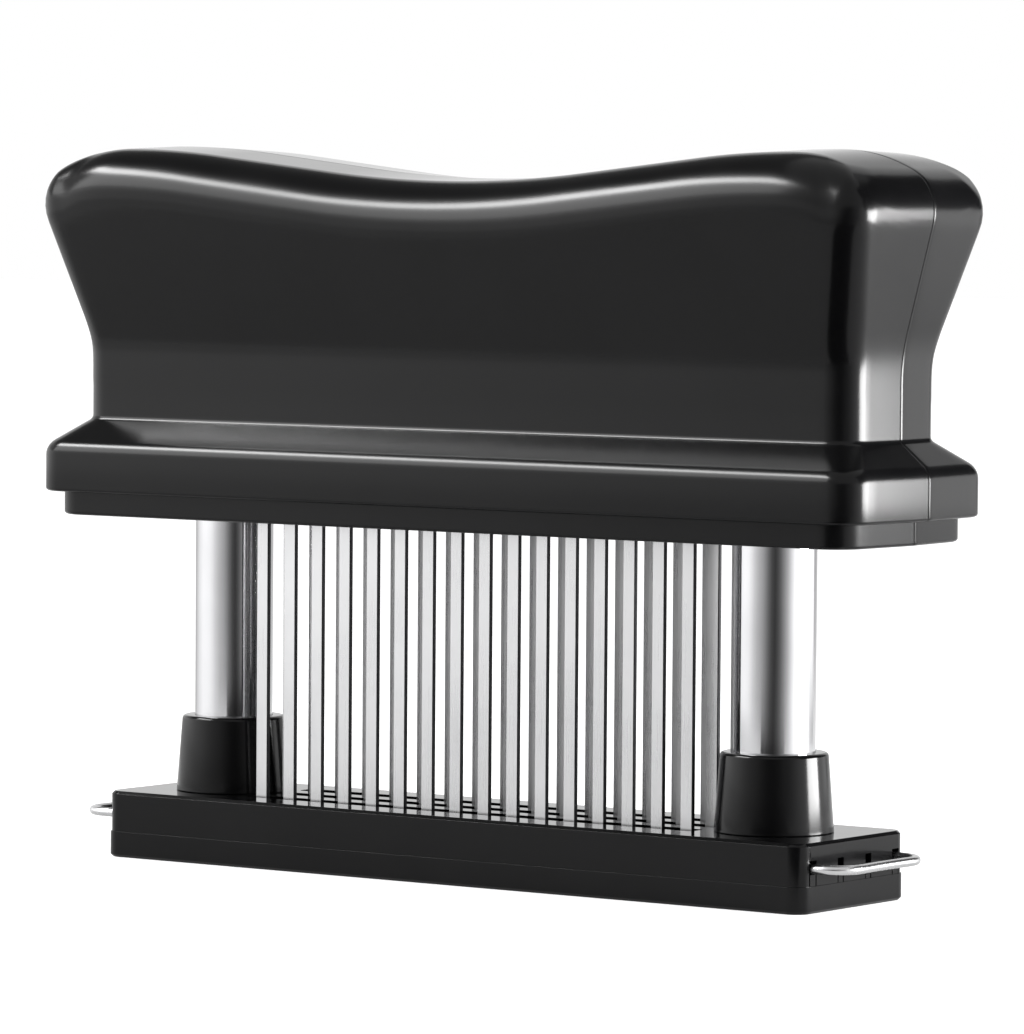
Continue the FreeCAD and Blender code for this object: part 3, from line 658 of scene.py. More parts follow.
def revolved(profile: Array, centre: tuple[float, float], segments: int) -> Array:
    """Surface of revolution: each profile point (radius, height) is carried round the upright axis.

    Args:
        profile: Radius and height, one a line.
        centre: The axis in X and Y.
        segments: Columns round the axis.

    Returns:
        Grid of points, profile by segments.
    """
    angle = circle_angles(segments)
    radius, height = profile[:, :1], profile[:, 1:]
    return np.stack([centre[0] + radius * np.cos(angle), centre[1] + radius * np.sin(angle),
                     np.broadcast_to(height, (len(profile), segments))], -1)


# ---------------------------------------------------------------- grip
def rounded_meet(first: Array, second: Array, radius: float, cosine: float | Array) -> Array:
    """Signed distance to the solid inside two surfaces whose meeting edge is rounded.

    With p and q the two distances plus the radius, a point beside the rounding is
    sqrt((p^2 + q^2 - 2 p q c) / (1 - c^2)) from its axis, c being the cosine between the
    two outward normals. Elsewhere the distance is the larger of the two.

    Args:
        first: Distances to the first surface, negative inside.
        second: Distances to the second surface.
        radius: Radius of the rounding.
        cosine: Cosine between the outward normals.

    Returns:
        Distances, negative inside.
    """
    p, q = first + radius, second + radius
    square = (p * p + q * q - 2.0 * p * q * cosine) / (1.0 - cosine * cosine)
    beside = (p - cosine * q > 0.0) & (q - cosine * p > 0.0)
    return np.where(beside, np.sqrt(np.maximum(square, 0.0)) - radius, np.maximum(first, second))


def leaning(height: Array, size: float, kink: float, angle: float, radius: float) -> tuple[Array, Array]:
    """Half size of a wall that stands upright, bends outwards along an arc and then leans.

    Below the arc the size is constant; in the arc it is size + r - sqrt(r^2 - (z - start)^2);
    above it, size + (z - kink) tan(angle).

    Args:
        height: Heights.
        size: Half size of the upright part.
        kink: Height where the two straight parts would meet.
        angle: Lean from upright, radians.
        radius: Radius of the arc.

    Returns:
        The half size, and the cosine of the wall's lean at each height.
    """
    start = kink - radius * math.tan(angle / 2.0)
    end = kink + radius * math.tan(angle / 2.0) * math.cos(angle)
    rise = np.clip(height - start, 0.0, end - start)
    arc = size + radius - np.sqrt(radius * radius - rise * rise)
    value = np.where(height < end, arc, size + (height - kink) * math.tan(angle))
    slope = np.where(height < end, rise / np.sqrt(radius * radius - rise * rise), math.tan(angle))
    return value, 1.0 / np.hypot(1.0, slope)


@dataclass(frozen=True)
class GripForm:
    """Outside form of the front half of the grip; the rear half is its mirror."""

    rest_height: float
    crown_top: float
    flange_half_length: float = 76.0
    flange_half_depth: float = 18.4
    skirt_height: float = 3.6
    skirt_end_step: float = 2.4
    skirt_face_step: float = 1.8
    flange_height: float = 7.1
    shoulder_rise: float = 4.1
    neck_end_step: float = 4.9
    neck_face_step: float = 6.0
    end_flare_height: float = 12.2
    end_flare: float = math.radians(15.0)
    end_flare_radius: float = 30.0
    face_lean_height: float = 11.6
    face_lean: float = math.radians(16.8)
    face_lean_radius: float = 9.0
    crown_rise: float = 4.6
    crown_inset: float = 10.6
    crown_rise_angle: float = math.radians(6.4)
    crown_fall_angle: float = math.radians(22.9)
    crown_inner_radius: float = 143.0
    crown_outer_radius: float = 27.0
    top_edge_radius: float = 7.0
    corner_radius: float = 4.5
    end_draft: float = math.radians(4.5)
    top_draft: float = math.radians(2.0)
    wall: float = 2.2
    rim_radius: float = 0.5
    step_radius: float = 0.15
    flange_edge_radius: float = 2.8
    crease_radius: float = 1.1
    front_seam_radius: float = 0.14
    rear_seam_radius: float = 0.5
    ring_rise: float = 5.0
    crown_tail: float = 20.0
    spine_height: float = 88.0
    spine_half_length: float = 56.0
    ray_length: float = 60.0
    halvings: int = 40

    @property
    def flange_bottom(self) -> float:
        """Height of the flange's underside."""
        return self.rest_height + self.skirt_height

    @property
    def flange_top(self) -> float:
        """Height of the flange's upper edge before its rounding."""
        return self.flange_bottom + self.flange_height

    @property
    def crease(self) -> float:
        """Height where the shoulder meets the neck."""
        return self.flange_top + self.shoulder_rise

    @property
    def ring_height(self) -> float:
        """Height in the upright neck where the lower and the upper surface join."""
        return self.crease + self.ring_rise

    @property
    def neck(self) -> tuple[float, float]:
        """Half length and half depth of the neck."""
        return (self.flange_half_length - self.neck_end_step, self.flange_half_depth - self.neck_face_step)

    def outline(self, length: Array, depth: Array) -> tuple[Array, Array]:
        """Outline of the front half from the seam at the right end round to the left one.

        From the seam the end face runs straight, turned back by the draft; an arc of the
        corner radius, tangent to both, leads to the straight front; the left is its mirror.

        Args:
            length: Half lengths, one a row.
            depth: Half depths, one a row.

        Returns:
            X and Y, rows by columns.
        """
        length, depth = np.reshape(length, (-1, 1)), np.reshape(depth, (-1, 1))
        reach = self.corner_radius * math.tan((math.pi / 2.0 - self.end_draft) / 2.0)
        centre_x = length - depth * math.tan(self.end_draft) - reach
        centre_y = -depth + self.corner_radius
        first_x = centre_x + self.corner_radius * math.cos(self.end_draft)
        first_y = centre_y - self.corner_radius * math.sin(self.end_draft)
        share = np.array([0.0, 0.004, 0.009, 0.015, 0.022, 0.035, 0.1, 0.25, 0.45, 0.65, 0.85])
        angle = np.linspace(self.end_draft, math.pi / 2.0, 15)
        along = np.linspace(1.0, -1.0, 121)[1:-1]
        end_x, end_y = length + (first_x - length) * share, first_y * share
        arc_x = centre_x + self.corner_radius * np.cos(angle)
        arc_y = centre_y - self.corner_radius * np.sin(angle)
        face_x, face_y = centre_x * along, np.broadcast_to(-depth, (len(depth), along.size))
        right_x, right_y = np.concatenate([end_x, arc_x], 1), np.concatenate([end_y, arc_y], 1)
        return (np.concatenate([right_x, face_x, -right_x[:, ::-1]], 1),
                np.concatenate([right_y, face_y, right_y[:, ::-1]], 1))

    def lower_profile(self) -> tuple[Array, Array, Array]:
        """Half length, half depth and height from the rim of the skirt up into the neck.

        The half depth follows the rounded path of the section. The half length moves with
        it, by the ratio of the end's and the face's steps below and above the flange.

        Returns:
            Half lengths, half depths and heights, one of each for a row of the grid.
        """
        face, skirt = self.flange_half_depth, self.flange_half_depth - self.skirt_face_step
        neck = self.flange_half_depth - self.neck_face_step
        path = rounded_path(
            [(skirt - self.wall, self.rest_height), (skirt, self.rest_height), (skirt, self.flange_bottom),
             (face, self.flange_bottom), (face, self.flange_top), (neck, self.crease),
             (neck, self.ring_height)],
            [self.rim_radius, self.step_radius, self.rim_radius, self.flange_edge_radius,
             self.crease_radius], 6)
        depth, height = path.T
        in_flange = self.flange_bottom + 2.0 * self.rim_radius
        ratio = np.where(height < in_flange, self.skirt_end_step / self.skirt_face_step,
                         self.neck_end_step / self.neck_face_step)
        return self.flange_half_length - (face - depth) * ratio, depth, height

    def top_line(self) -> Array:
        """The top along the parting plane: a hollow saddle between two crowns, all in tangent arcs.

        Returns:
            Place along the grip and height, one a line, from left of the saddle outwards.
        """
        rise, fall = self.crown_rise_angle, self.crown_fall_angle
        crown = self.neck[0] - self.crown_inset
        outer = crown + self.crown_outer_radius * math.tan(fall / 2.0)
        inner = crown - self.crown_inner_radius * math.tan(rise / 2.0)
        saddle = inner - self.crown_rise / math.tan(rise)
        low, high = self.crown_top - self.crown_rise, self.crown_top
        tail = (outer + self.crown_tail, high - self.crown_tail * math.tan(fall))
        return rounded_path(
            [(-2.0 * saddle, low), (-saddle, low), (saddle, low), (inner, high), (outer, high), tail],
            [0.0, saddle / math.tan(rise / 2.0), self.crown_inner_radius, self.crown_outer_radius], 60)

    def outside(self, x: Array, away: Array, z: Array) -> Array:
        """Signed distance to the upper grip, negative inside.

        The leaning face, the flared end and the top are three surfaces. The corner between
        face and end is rounded first, then the edge between these and the top. The cosine
        between face and end is taken as 0.1 and that between end and top as 0.15; across
        the corner the second rounding changes from the face's cosine to the end's.

        Args:
            x: Places along the grip.
            away: Distances from the parting plane.
            z: Heights.

        Returns:
            Distances in millimetres.
        """
        depth, face_cosine = leaning(z, self.neck[1], self.crease + self.face_lean_height, self.face_lean,
                                     self.face_lean_radius)
        length, end_cosine = leaning(z, self.neck[0], self.crease + self.end_flare_height, self.end_flare,
                                     self.end_flare_radius)
        face = (away - depth) * face_cosine
        end = (np.abs(x) - length + away * math.tan(self.end_draft)) * end_cosine * math.cos(self.end_draft)
        line = self.top_line()
        apart = 1e-9 * np.arange(len(line))
        slopes = np.gradient(line[:, 1], line[:, 0] + apart)
        level = np.interp(np.abs(x), line[:, 0], line[:, 1])
        slope = np.interp(np.abs(x), line[:, 0], slopes)
        top = (z - level + away * math.tan(self.top_draft)) / np.hypot(1.0, slope)
        side = rounded_meet(face, end, self.corner_radius, 0.1)
        share = np.clip(0.5 + (end - face) / (2.0 * self.corner_radius), 0.0, 1.0)
        cosine = (1.0 - share) * -math.sin(self.face_lean - self.top_draft) + share * 0.15
        return rounded_meet(side, top, self.top_edge_radius, cosine)

    def upper_grid(self) -> Array:
        """Surface of the upper grip, from the ring in the neck over the top to the seam.

        Each column starts at a point of the ring's outline and lies in the upright plane
        through it and its place on a spine inside the grip. Its points are where rays from
        the spine, from the ring's angle up to straight up, leave the solid; each is found
        by halving the ray's length again and again.

        Returns:
            Grid of points, rays by columns.
        """
        ring_x, ring_y = self.outline(np.array([self.neck[0]]), np.array([self.neck[1]]))
        face_end = self.neck[0] - self.neck[1] * math.tan(self.end_draft) - self.corner_radius
        spine = np.clip(ring_x * self.spine_half_length / face_end, -self.spine_half_length,
                        self.spine_half_length)
        out_x, out_y = ring_x - spine, ring_y
        reach = np.hypot(out_x, out_y)
        low = np.arctan2(self.ring_height - self.spine_height, reach)
        share = np.concatenate([np.linspace(0.0, 0.55, 34)[:-1], np.linspace(0.55, 0.8, 40)[:-1],
                                np.linspace(0.8, 0.985, 26), [0.99, 0.9935, 0.996, 0.998, 0.9993, 1.0]])
        angle = low + (math.pi / 2.0 - low) * share[:, None]
        ray = np.stack([np.cos(angle) * out_x / reach, np.cos(angle) * out_y / reach, np.sin(angle)], -1)
        start = np.stack([spine + 0.0 * angle, 0.0 * angle, self.spine_height + 0.0 * angle], -1)
        near, far = np.zeros_like(angle), np.full_like(angle, self.ray_length)
        for _ in range(self.halvings):
            middle = (near + far) / 2.0
            at = start + ray * middle[..., None]
            inside = self.outside(at[..., 0], np.abs(at[..., 1]), at[..., 2]) < 0.0
            near, far = np.where(inside, middle, near), np.where(inside, far, middle)
        return start + ray * ((near + far) / 2.0)[..., None]

    def grid(self, radius: float) -> Array:
        """The whole outside of the front half as one grid, with a fine rounding along the seam.

        Within the seam's radius r of the parting plane a point moves in along its normal
        by r - sqrt(r^2 - (r - y)^2), a quarter round.

        Args:
            radius: Radius of the rounding.

        Returns:
            Grid of points.
        """
        length, depth, height = self.lower_profile()
        x, y = self.outline(length, depth)
        lower = np.stack([x, y, np.broadcast_to(height[:, None], x.shape)], -1)
        whole = np.concatenate([lower, self.upper_grid()[1:]])
        near = np.clip(radius - np.abs(whole[..., 1]), 0.0, radius)
        sink = radius - np.sqrt(np.maximum(radius ** 2 - near ** 2, 0.0))
        normals = grid_normals(whole)
        outward = np.sign(np.sum(normals * (whole - [0.0, 0.0, self.spine_height]), -1, keepdims=True))
        moved = whole - sink[..., None] * normals * outward
        moved[..., 1] = whole[..., 1]
        return moved


@dataclass
class Grip:
    """The grip: two shells, and the carrier, clamp and screws that close them below."""

    form: GripForm
    body: str = "grip"

    def shell(self, half: Half, material: Material) -> Piece:
        """Builds one shell, a wall thick, from the outside form.

        Args:
            half: Front or rear.
            material: Its plastic.

        Returns:
            The shell.
        """
        rear = half is Half.REAR
        grid = self.form.grid(self.form.rear_seam_radius if rear else self.form.front_seam_radius)
        grid = grid * np.array([1.0, -1.0 if rear else 1.0, 1.0])
        mesh = Mesh()
        mesh.add_grid(grid)
        piece = mesh.piece(f"{half.word}_grip_shell", merge=0.002)
        self.face_out(piece)
        wall = piece.modifiers.new("wall", "SOLIDIFY")
        wall.thickness = self.form.wall * MM
        wall.offset = -1.0
        wall.use_even_offset = False
        return finished(piece, material, GRIP_PLASTIC.slot, self.body, f"{half.word}_shell")

    def face_out(self, piece: Piece) -> None:
        """Turns an open shell's faces away from the grip's spine.

        Args:
            piece: The shell, before its wall is added.
        """
        data = piece.data
        centres, normals = np.empty(len(data.polygons) * 3), np.empty(len(data.polygons) * 3)
        areas = np.empty(len(data.polygons))
        data.polygons.foreach_get("center", centres)
        data.polygons.foreach_get("normal", normals)
        data.polygons.foreach_get("area", areas)
        away = centres.reshape(-1, 3) - np.array([0.0, 0.0, self.form.spine_height * MM])
        if np.sum(areas * np.sum(away * normals.reshape(-1, 3), -1)) < 0.0:
            data.flip_normals()

    def build(self, finishes: Finishes) -> None:
        """Builds both shells and dresses the pieces inside.

        Args:
            finishes: Materials by name.
        """
        for half in Half:
            self.shell(half, finishes[GRIP_PLASTIC.name])
        for node in ("blade_carrier", "clamp_plate", "left_spring_post", "right_spring_post"):
            dress(node, finishes[INNER_PLASTIC.name])
        for node in ("left_guide_bush", "right_guide_bush"):
            dress(node, finishes[BUSH_PLASTIC.name])
        for node in ("clamp_screws", "carrier_screws"):
            dress(node, finishes[SCREW_STEEL.name])


def dress(node: str, material: Material) -> None:
    """Gives a node of the construction its material.

    Args:
        node: The node, which stays as it is built.
        material: Its new material.
    """
    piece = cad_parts[node]
    for material_slot in piece.material_slots:
        material_slot.material = material
    LOG.info("%s: kept, with %s", node, material.name)


# ---------------------------------------------------------------- blades
@dataclass
class BladePack:
    """Three rows of strip blades with slanted, bevelled tips and T-heads."""

    count: int = 16
    pitch: float = 5.225
    width: float = 2.16
    thickness: float = 0.8
    slant: float = 1.7
    bevel: float = 2.6
    edge: float = 0.12
    head_width: float = 3.8
    head_height: float = 1.45
    corner: float = 0.12
    body: str = "grip"

    def strip(self, tip: float, top: float) -> Array:
        """One blade in the middle of its row, as a rounded bar whose section changes with height.

        A section is a rectangle with cut corners. At the tip its rear half is ground away to
        the edge's thickness and its height rises towards the left by the slant; in the
        T-head its width grows.

        Args:
            tip: Height of the tip's lowest point.
            top: Height of the head's top.

        Returns:
            Grid of points, heights by corners.
        """
        half, thick, cut = self.width / 2.0, self.thickness / 2.0, self.corner
        left, right, front, rear = -half + cut, half - cut, -thick + cut, thick - cut
        corner_x = np.array([left, right, half, half, right, left, -half, -half])
        corner_y = np.array([-thick, -thick, front, rear, thick, thick, rear, front])
        neck = top - self.head_height
        heights = np.array([tip, tip, tip + self.bevel, neck, neck, top, top])
        wide = self.head_width / self.width
        width = np.array([0.0, 1.0, 1.0, 1.0, wide, wide, 0.0])
        ground = np.array([self.edge] * 2 + [self.thickness] * 4 + [0.0])
        share = (corner_y + thick) / self.thickness
        x = corner_x * width[:, None]
        y = -thick + share * ground[:, None]
        slanted = np.array([1.0, 1.0, 0.6, 0.0, 0.0, 0.0, 0.0])[:, None]
        z = heights[:, None] + slanted * self.slant * (0.5 - x / self.width)
        return np.stack([x, y, z], -1)

    def build(self, finishes: Finishes) -> None:
        """Builds each row in the place of its node.

        Args:
            finishes: Materials by name.
        """
        for row in Row:
            low, high = (np.array(corner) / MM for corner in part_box(row.value))
            places = np.zeros((self.count, 3))
            places[:, 0] = (np.arange(self.count) - (self.count - 1) / 2.0) * self.pitch
            places[:, 1] = (low[1] + high[1]) / 2.0
            mesh = Mesh()
            mesh.add_copies(self.strip(low[2], high[2]), places, around=True)
            piece = mesh.piece(f"{row.name.lower()}_row_blades", merge=0.0005)
            set_smooth(piece.data, False)
            finished(piece, finishes[BLADE_STEEL.name], BLADE_STEEL.slot, self.body, row.value)


# ---------------------------------------------------------------- columns
@dataclass
class Column:
    """One column: polished tube, tapered collar, and the pieces inside. A crease is in degrees."""

    end: End
    wall: float = 0.8
    groove_depth: float = 0.4
    groove_width: float = 1.2
    groove_drop: float = 2.0
    edge: float = 0.15
    tube_crease: float = 25.0
    collar_top_radius: float = 7.9
    collar_rim_radius: float = 0.6
    collar_foot_radius: float = 0.15
    collar_crease: float = 40.0
    seat: float = 0.05
    segments: int = 128
    spring_wire: float = 1.0
    spring_turns: int = 12
    turn_points: int = 24
    spring_sides: int = 8
    body: str = "base"

    def tube(self, finishes: Finishes) -> Piece:
        """Turns the tube from its section: outside with the ring's groove, softened ends, bore.

        Args:
            finishes: Materials by name.

        Returns:
            The tube.
        """
        name = f"{self.end.word}_tube"
        low, high = (np.array(corner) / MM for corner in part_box(name))
        radius, bottom, top = (high[1] - low[1]) / 2.0, low[2], high[2]
        bore, edge, deep = radius - self.wall, self.edge, radius - self.groove_depth
        groove_low = top - self.groove_drop
        groove_high = groove_low + self.groove_width
        profile = np.array([
            (bore, bottom + edge), (bore + edge, bottom), (radius - edge, bottom), (radius, bottom + edge),
            (radius, groove_low), (deep, groove_low), (deep, groove_high), (radius, groove_high),
            (radius, top - edge), (radius - edge, top), (bore + edge, top), (bore, top - edge)])
        centre = ((low[0] + high[0]) / 2.0, 0.0)
        mesh = Mesh()
        mesh.add_grid(revolved(profile, centre, self.segments), around=True, closed=True)
        piece = mesh.piece(f"{self.end.word}_column_tube")
        sharpen(piece, self.tube_crease)
        return finished(piece, finishes[TUBE_STEEL.name], TUBE_STEEL.slot, self.body, name)

    def collar(self, finishes: Finishes) -> Piece:
        """Turns the collar: a cone with a rounded rim, bored for the tube.

        Args:
            finishes: Materials by name.

        Returns:
            The collar.
        """
        name = f"{self.end.word}_collar"
        low, high = (np.array(corner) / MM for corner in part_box(name))
        foot_radius, bottom, top = (high[0] - low[0]) / 2.0, low[2], high[2]
        tube_low, tube_high = (np.array(corner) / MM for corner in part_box(f"{self.end.word}_tube"))
        bore = (tube_high[0] - tube_low[0]) / 2.0 + self.seat
        outer = rounded_path(
            [(bore, bottom), (foot_radius, bottom), (self.collar_top_radius, top), (bore, top)],
            [self.collar_foot_radius, self.collar_rim_radius], 8)
        centre = ((low[0] + high[0]) / 2.0, 0.0)
        mesh = Mesh()
        mesh.add_grid(revolved(outer, centre, self.segments), around=True, closed=True)
        piece = mesh.piece(f"{self.end.word}_column_collar")
        sharpen(piece, self.collar_crease)
        return finished(piece, finishes[BASE_PLASTIC.name], BASE_PLASTIC.slot, self.body, name)

    def spring(self, finishes: Finishes) -> Piece:
        """Coils the return spring, which shortens between the base and the grip.

        Its middle line is x = r cos(t), y = r sin(t), z rising evenly with t, and it carries
        a circle of the wire's size, with rounded ends.

        Args:
            finishes: Materials by name.

        Returns:
            The spring.
        """
        name = f"{self.end.word}_spring"
        low, high = (np.array(corner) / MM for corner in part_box(name))
        coil_radius = (high[0] - low[0] - self.spring_wire) / 2.0
        centre = (low[0] + high[0]) / 2.0
        end_steps = np.array([0.0, 0.0015, 0.006])
        coils = np.linspace(0.01, 0.99, self.spring_turns * self.turn_points)
        share = np.concatenate([end_steps, coils, 1.0 - end_steps[::-1]])
        radius = wire_radii(self.spring_wire, len(share))
        angle = circle_angles(self.spring_sides)
        out = coil_radius + radius[:, None] * np.cos(angle)[None, :]
        middle = low[2] + self.spring_wire / 2.0 + (high[2] - low[2] - self.spring_wire) * share
        height = middle[:, None] - radius[:, None] * np.sin(angle)[None, :]
        turn = (2.0 * math.pi * self.spring_turns * share)[:, None]
        mesh = Mesh()
        mesh.add_grid(np.stack([centre + out * np.cos(turn), out * np.sin(turn), height], -1), around=True)
        piece = mesh.piece(f"{self.end.word}_return_spring")
        piece.data.materials.append(finishes[SCREW_STEEL.name])
        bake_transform(piece)
        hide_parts(name)
        LOG.info("%s: %d faces, shortens between base and grip", piece.name, len(piece.data.polygons))
        return piece

    def build(self, finishes: Finishes) -> None:
        """Builds the tube, the collar and the spring and dresses what is inside.

        Args:
            finishes: Materials by name.
        """
        self.tube(finishes)
        self.collar(finishes)
        self.spring(finishes)
        dress(f"{self.end.word}_tube_plug", finishes[INNER_PLASTIC.name])


# ---------------------------------------------------------------- base
@dataclass
class Base:
    """The base: slotted cover, bottom plate, tube screws and retaining rings. Angles in degrees."""

    edge: float = 0.22
    edge_steps: int = 2
    edge_angle: float = 30.0
    flat_angle: float = 1.0
    merge: float = 0.001
    body: str = "base"

    def moulding(self, node: str, name: str, finishes: Finishes) -> Piece:
        """Makes a softened copy of a moulding: flat faces joined again and every edge rounded.

        Args:
            node: Node of the construction.
            name: Name of the new piece.
            finishes: Materials by name.

        Returns:
            The new piece.
        """
        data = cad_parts[node].data.copy()
        data.name = name
        work = bmesh.new()
        work.from_mesh(data)
        bmesh.ops.remove_doubles(work, verts=work.verts, dist=self.merge * MM)
        bmesh.ops.dissolve_limit(work, angle_limit=math.radians(self.flat_angle), verts=work.verts,
                                 edges=work.edges)
        work.to_mesh(data)
        work.free()
        set_smooth(data, True)
        piece = placed(name, data)
        soft = piece.modifiers.new("soft_edges", "BEVEL")
        soft.width = self.edge * MM
        soft.segments = self.edge_steps
        soft.limit_method = "ANGLE"
        soft.angle_limit = math.radians(self.edge_angle)
        level = piece.modifiers.new("level_faces", "WEIGHTED_NORMAL")
        level.weight = 100
        return finished(piece, finishes[BASE_PLASTIC.name], BASE_PLASTIC.slot, self.body, node)

    def build(self, finishes: Finishes) -> None:
        """Builds both mouldings and dresses the small pieces.

        Args:
            finishes: Materials by name.
        """
        self.moulding("base_cover", "slotted_cover", finishes)
        self.moulding("base_plate", "bottom_plate", finishes)
        for node in ("tube_screws", "retaining_rings"):
            dress(node, finishes[SCREW_STEEL.name])


@dataclass
class LockPin:
    """A U of bright wire that locks the bottom plate at one end."""

    end: End
    wire: float = 1.4
    bend_radius: float = 4.2
    bow: float = 0.25
    end_round: float = 0.3
    bend_steps: int = 16
    bar_points: int = 17
    sides: int = 24

    def path(self, low: Array, high: Array) -> Array:
        """Middle line of the wire in X and Y: leg, bend, bar with a slight bow, bend, leg.

        The bar's place moves in by the bow times 1 - (y / half)^2, half being the half
        length of its straight part.

        Args:
            low: Lowest corner of the pin's node.
            high: Highest corner.

        Returns:
            Points, one a line.
        """
        half = (high[1] - low[1] - self.wire) / 2.0
        bar, leg = (high[0], low[0]) if self.end is End.RIGHT else (low[0], high[0])
        bar -= self.end.value * self.wire / 2.0
        first = rounded_path([(leg, -half), (bar, -half), (bar, 0.0)], [self.bend_radius],
                             self.bend_steps)[:-1]
        straight = half - self.bend_radius
        across = np.linspace(-1.0, 1.0, self.bar_points)[1:-1]
        middle = np.stack([bar - self.end.value * self.bow * (1.0 - across * across), across * straight], -1)
        return np.concatenate([first, middle, first[::-1] * [1.0, -1.0]])

    def build(self, finishes: Finishes) -> Piece:
        """Carries a circle along the path, with rounded ends.

        Args:
            finishes: Materials by name.

        Returns:
            The pin.
        """
        node = f"{self.end.word}_lock_pin"
        low, high = (np.array(corner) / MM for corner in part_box(node))
        line = self.path(low, high)
        step = np.gradient(line, axis=0)
        step /= np.linalg.norm(step, axis=1, keepdims=True)
        inward = self.end_round * np.array([[0.0], [0.3], [1.0]])
        line = np.concatenate([line[0] + step[0] * inward, line[1:-1], line[-1] - step[-1] * inward[::-1]])
        ends = len(inward)
        step = np.concatenate([np.repeat(step[:1], ends, 0), step[1:-1], np.repeat(step[-1:], ends, 0)])
        radius = wire_radii(self.wire, len(line))
        angle = circle_angles(self.sides)
        side = np.stack([-step[:, 1], step[:, 0]], -1)
        flat = line[:, None, :] + radius[:, None, None] * np.cos(angle)[None, :, None] * side[:, None, :]
        height = (low[2] + high[2]) / 2.0 + radius[:, None] * np.sin(angle)[None, :]
        mesh = Mesh()
        mesh.add_grid(np.concatenate([flat, height[..., None]], -1), around=True)
        piece = mesh.piece(f"{self.end.word}_wire_pin")
        return finished(piece, finishes[WIRE_STEEL.name], WIRE_STEEL.slot, f"{self.end.word}_pin", node)


# ---------------------------------------------------------------- studio
def direction(azimuth: float, elevation: float) -> Vector:
    """Unit vector towards an azimuth and elevation in degrees; azimuth 0 is the front, -Y."""
    across, up = math.radians(azimuth), math.radians(elevation)
    return Vector((math.sin(across) * math.cos(up), -math.cos(across) * math.cos(up), math.sin(up)))


def carried_round(radius: Array | float, azimuth: Array, height: Array | float) -> Array:
    """Grid of points round the upright axis: x = r sin(a), y = -r cos(a).

    Args:
        radius: Distances from the axis.
        azimuth: Angles from the front, in radians, one a column.
        height: Heights.

    Returns:
        Grid of points, of the shape to which the three broadcast.
    """
    return np.stack(np.broadcast_arrays(radius * np.sin(azimuth), -radius * np.cos(azimuth), height), -1)


def only_mirrored(piece: Piece) -> None:
    """Leaves a piece to mirrored rays alone: the camera, diffuse light and shadows pass it by.

    Args:
        piece: The piece of the studio.
    """
    piece.visible_camera = False
    piece.visible_diffuse = False
    piece.visible_shadow = False


def self_lit(name: str, colour: Colour) -> tuple[Material, Tree, Node]:
    """Makes a dull material that shines white by itself.

    Args:
        name: Name of the material.
        colour: Its colour under the studio's light.

    Returns:
        The material, its tree and its Principled BSDF.
    """
    material, tree, shader = new_material(name)
    shader.inputs["Base Color"].default_value = opaque(colour)
    shader.inputs["Specular IOR Level"].default_value = 0.0
    shader.inputs["Emission Color"].default_value = WHITE
    return material, tree, shader


@dataclass(frozen=True)
class SoftBox:
    """A soft lamp: a lit rectangle that faces the object. Lengths in metres, angles in degrees."""

    name: str
    azimuth: float
    elevation: float
    distance: float
    width: float
    height: float
    radiance: float
    mirrored_only: bool = False
    target: tuple[float, float, float] = (0.0, 0.0, 0.06)

    def build(self) -> None:
        """Hangs the lamp; its power is its radiance times pi times its area."""
        data = bpy.data.lights.new(self.name, "AREA")
        data.shape = "RECTANGLE"
        data.size, data.size_y = self.width, self.height
        data.energy = self.radiance * math.pi * self.width * self.height
        lamp = placed(self.name, data)
        away = direction(self.azimuth, self.elevation)
        lamp.location = Vector(self.target) + away * self.distance
        lamp.rotation_euler = away.to_track_quat("Z", "Y").to_euler()
        lamp.visible_camera = False
        lamp.visible_diffuse = not self.mirrored_only


LAMPS = (
    SoftBox("key_softbox", azimuth=-45.0, elevation=31.0, distance=0.9, width=0.6, height=0.42,
            radiance=7.5),
    SoftBox("strip_softbox", azimuth=-52.5, elevation=42.5, distance=0.9, width=0.62, height=0.12,
            radiance=44.0, mirrored_only=True),
    SoftBox("low_softbox", azimuth=-47.0, elevation=10.0, distance=0.95, width=0.6, height=0.22,
            radiance=3.0, mirrored_only=True),
    SoftBox("side_softbox", azimuth=117.0, elevation=1.0, distance=0.48, width=0.22, height=0.134,
            radiance=60.0),
)


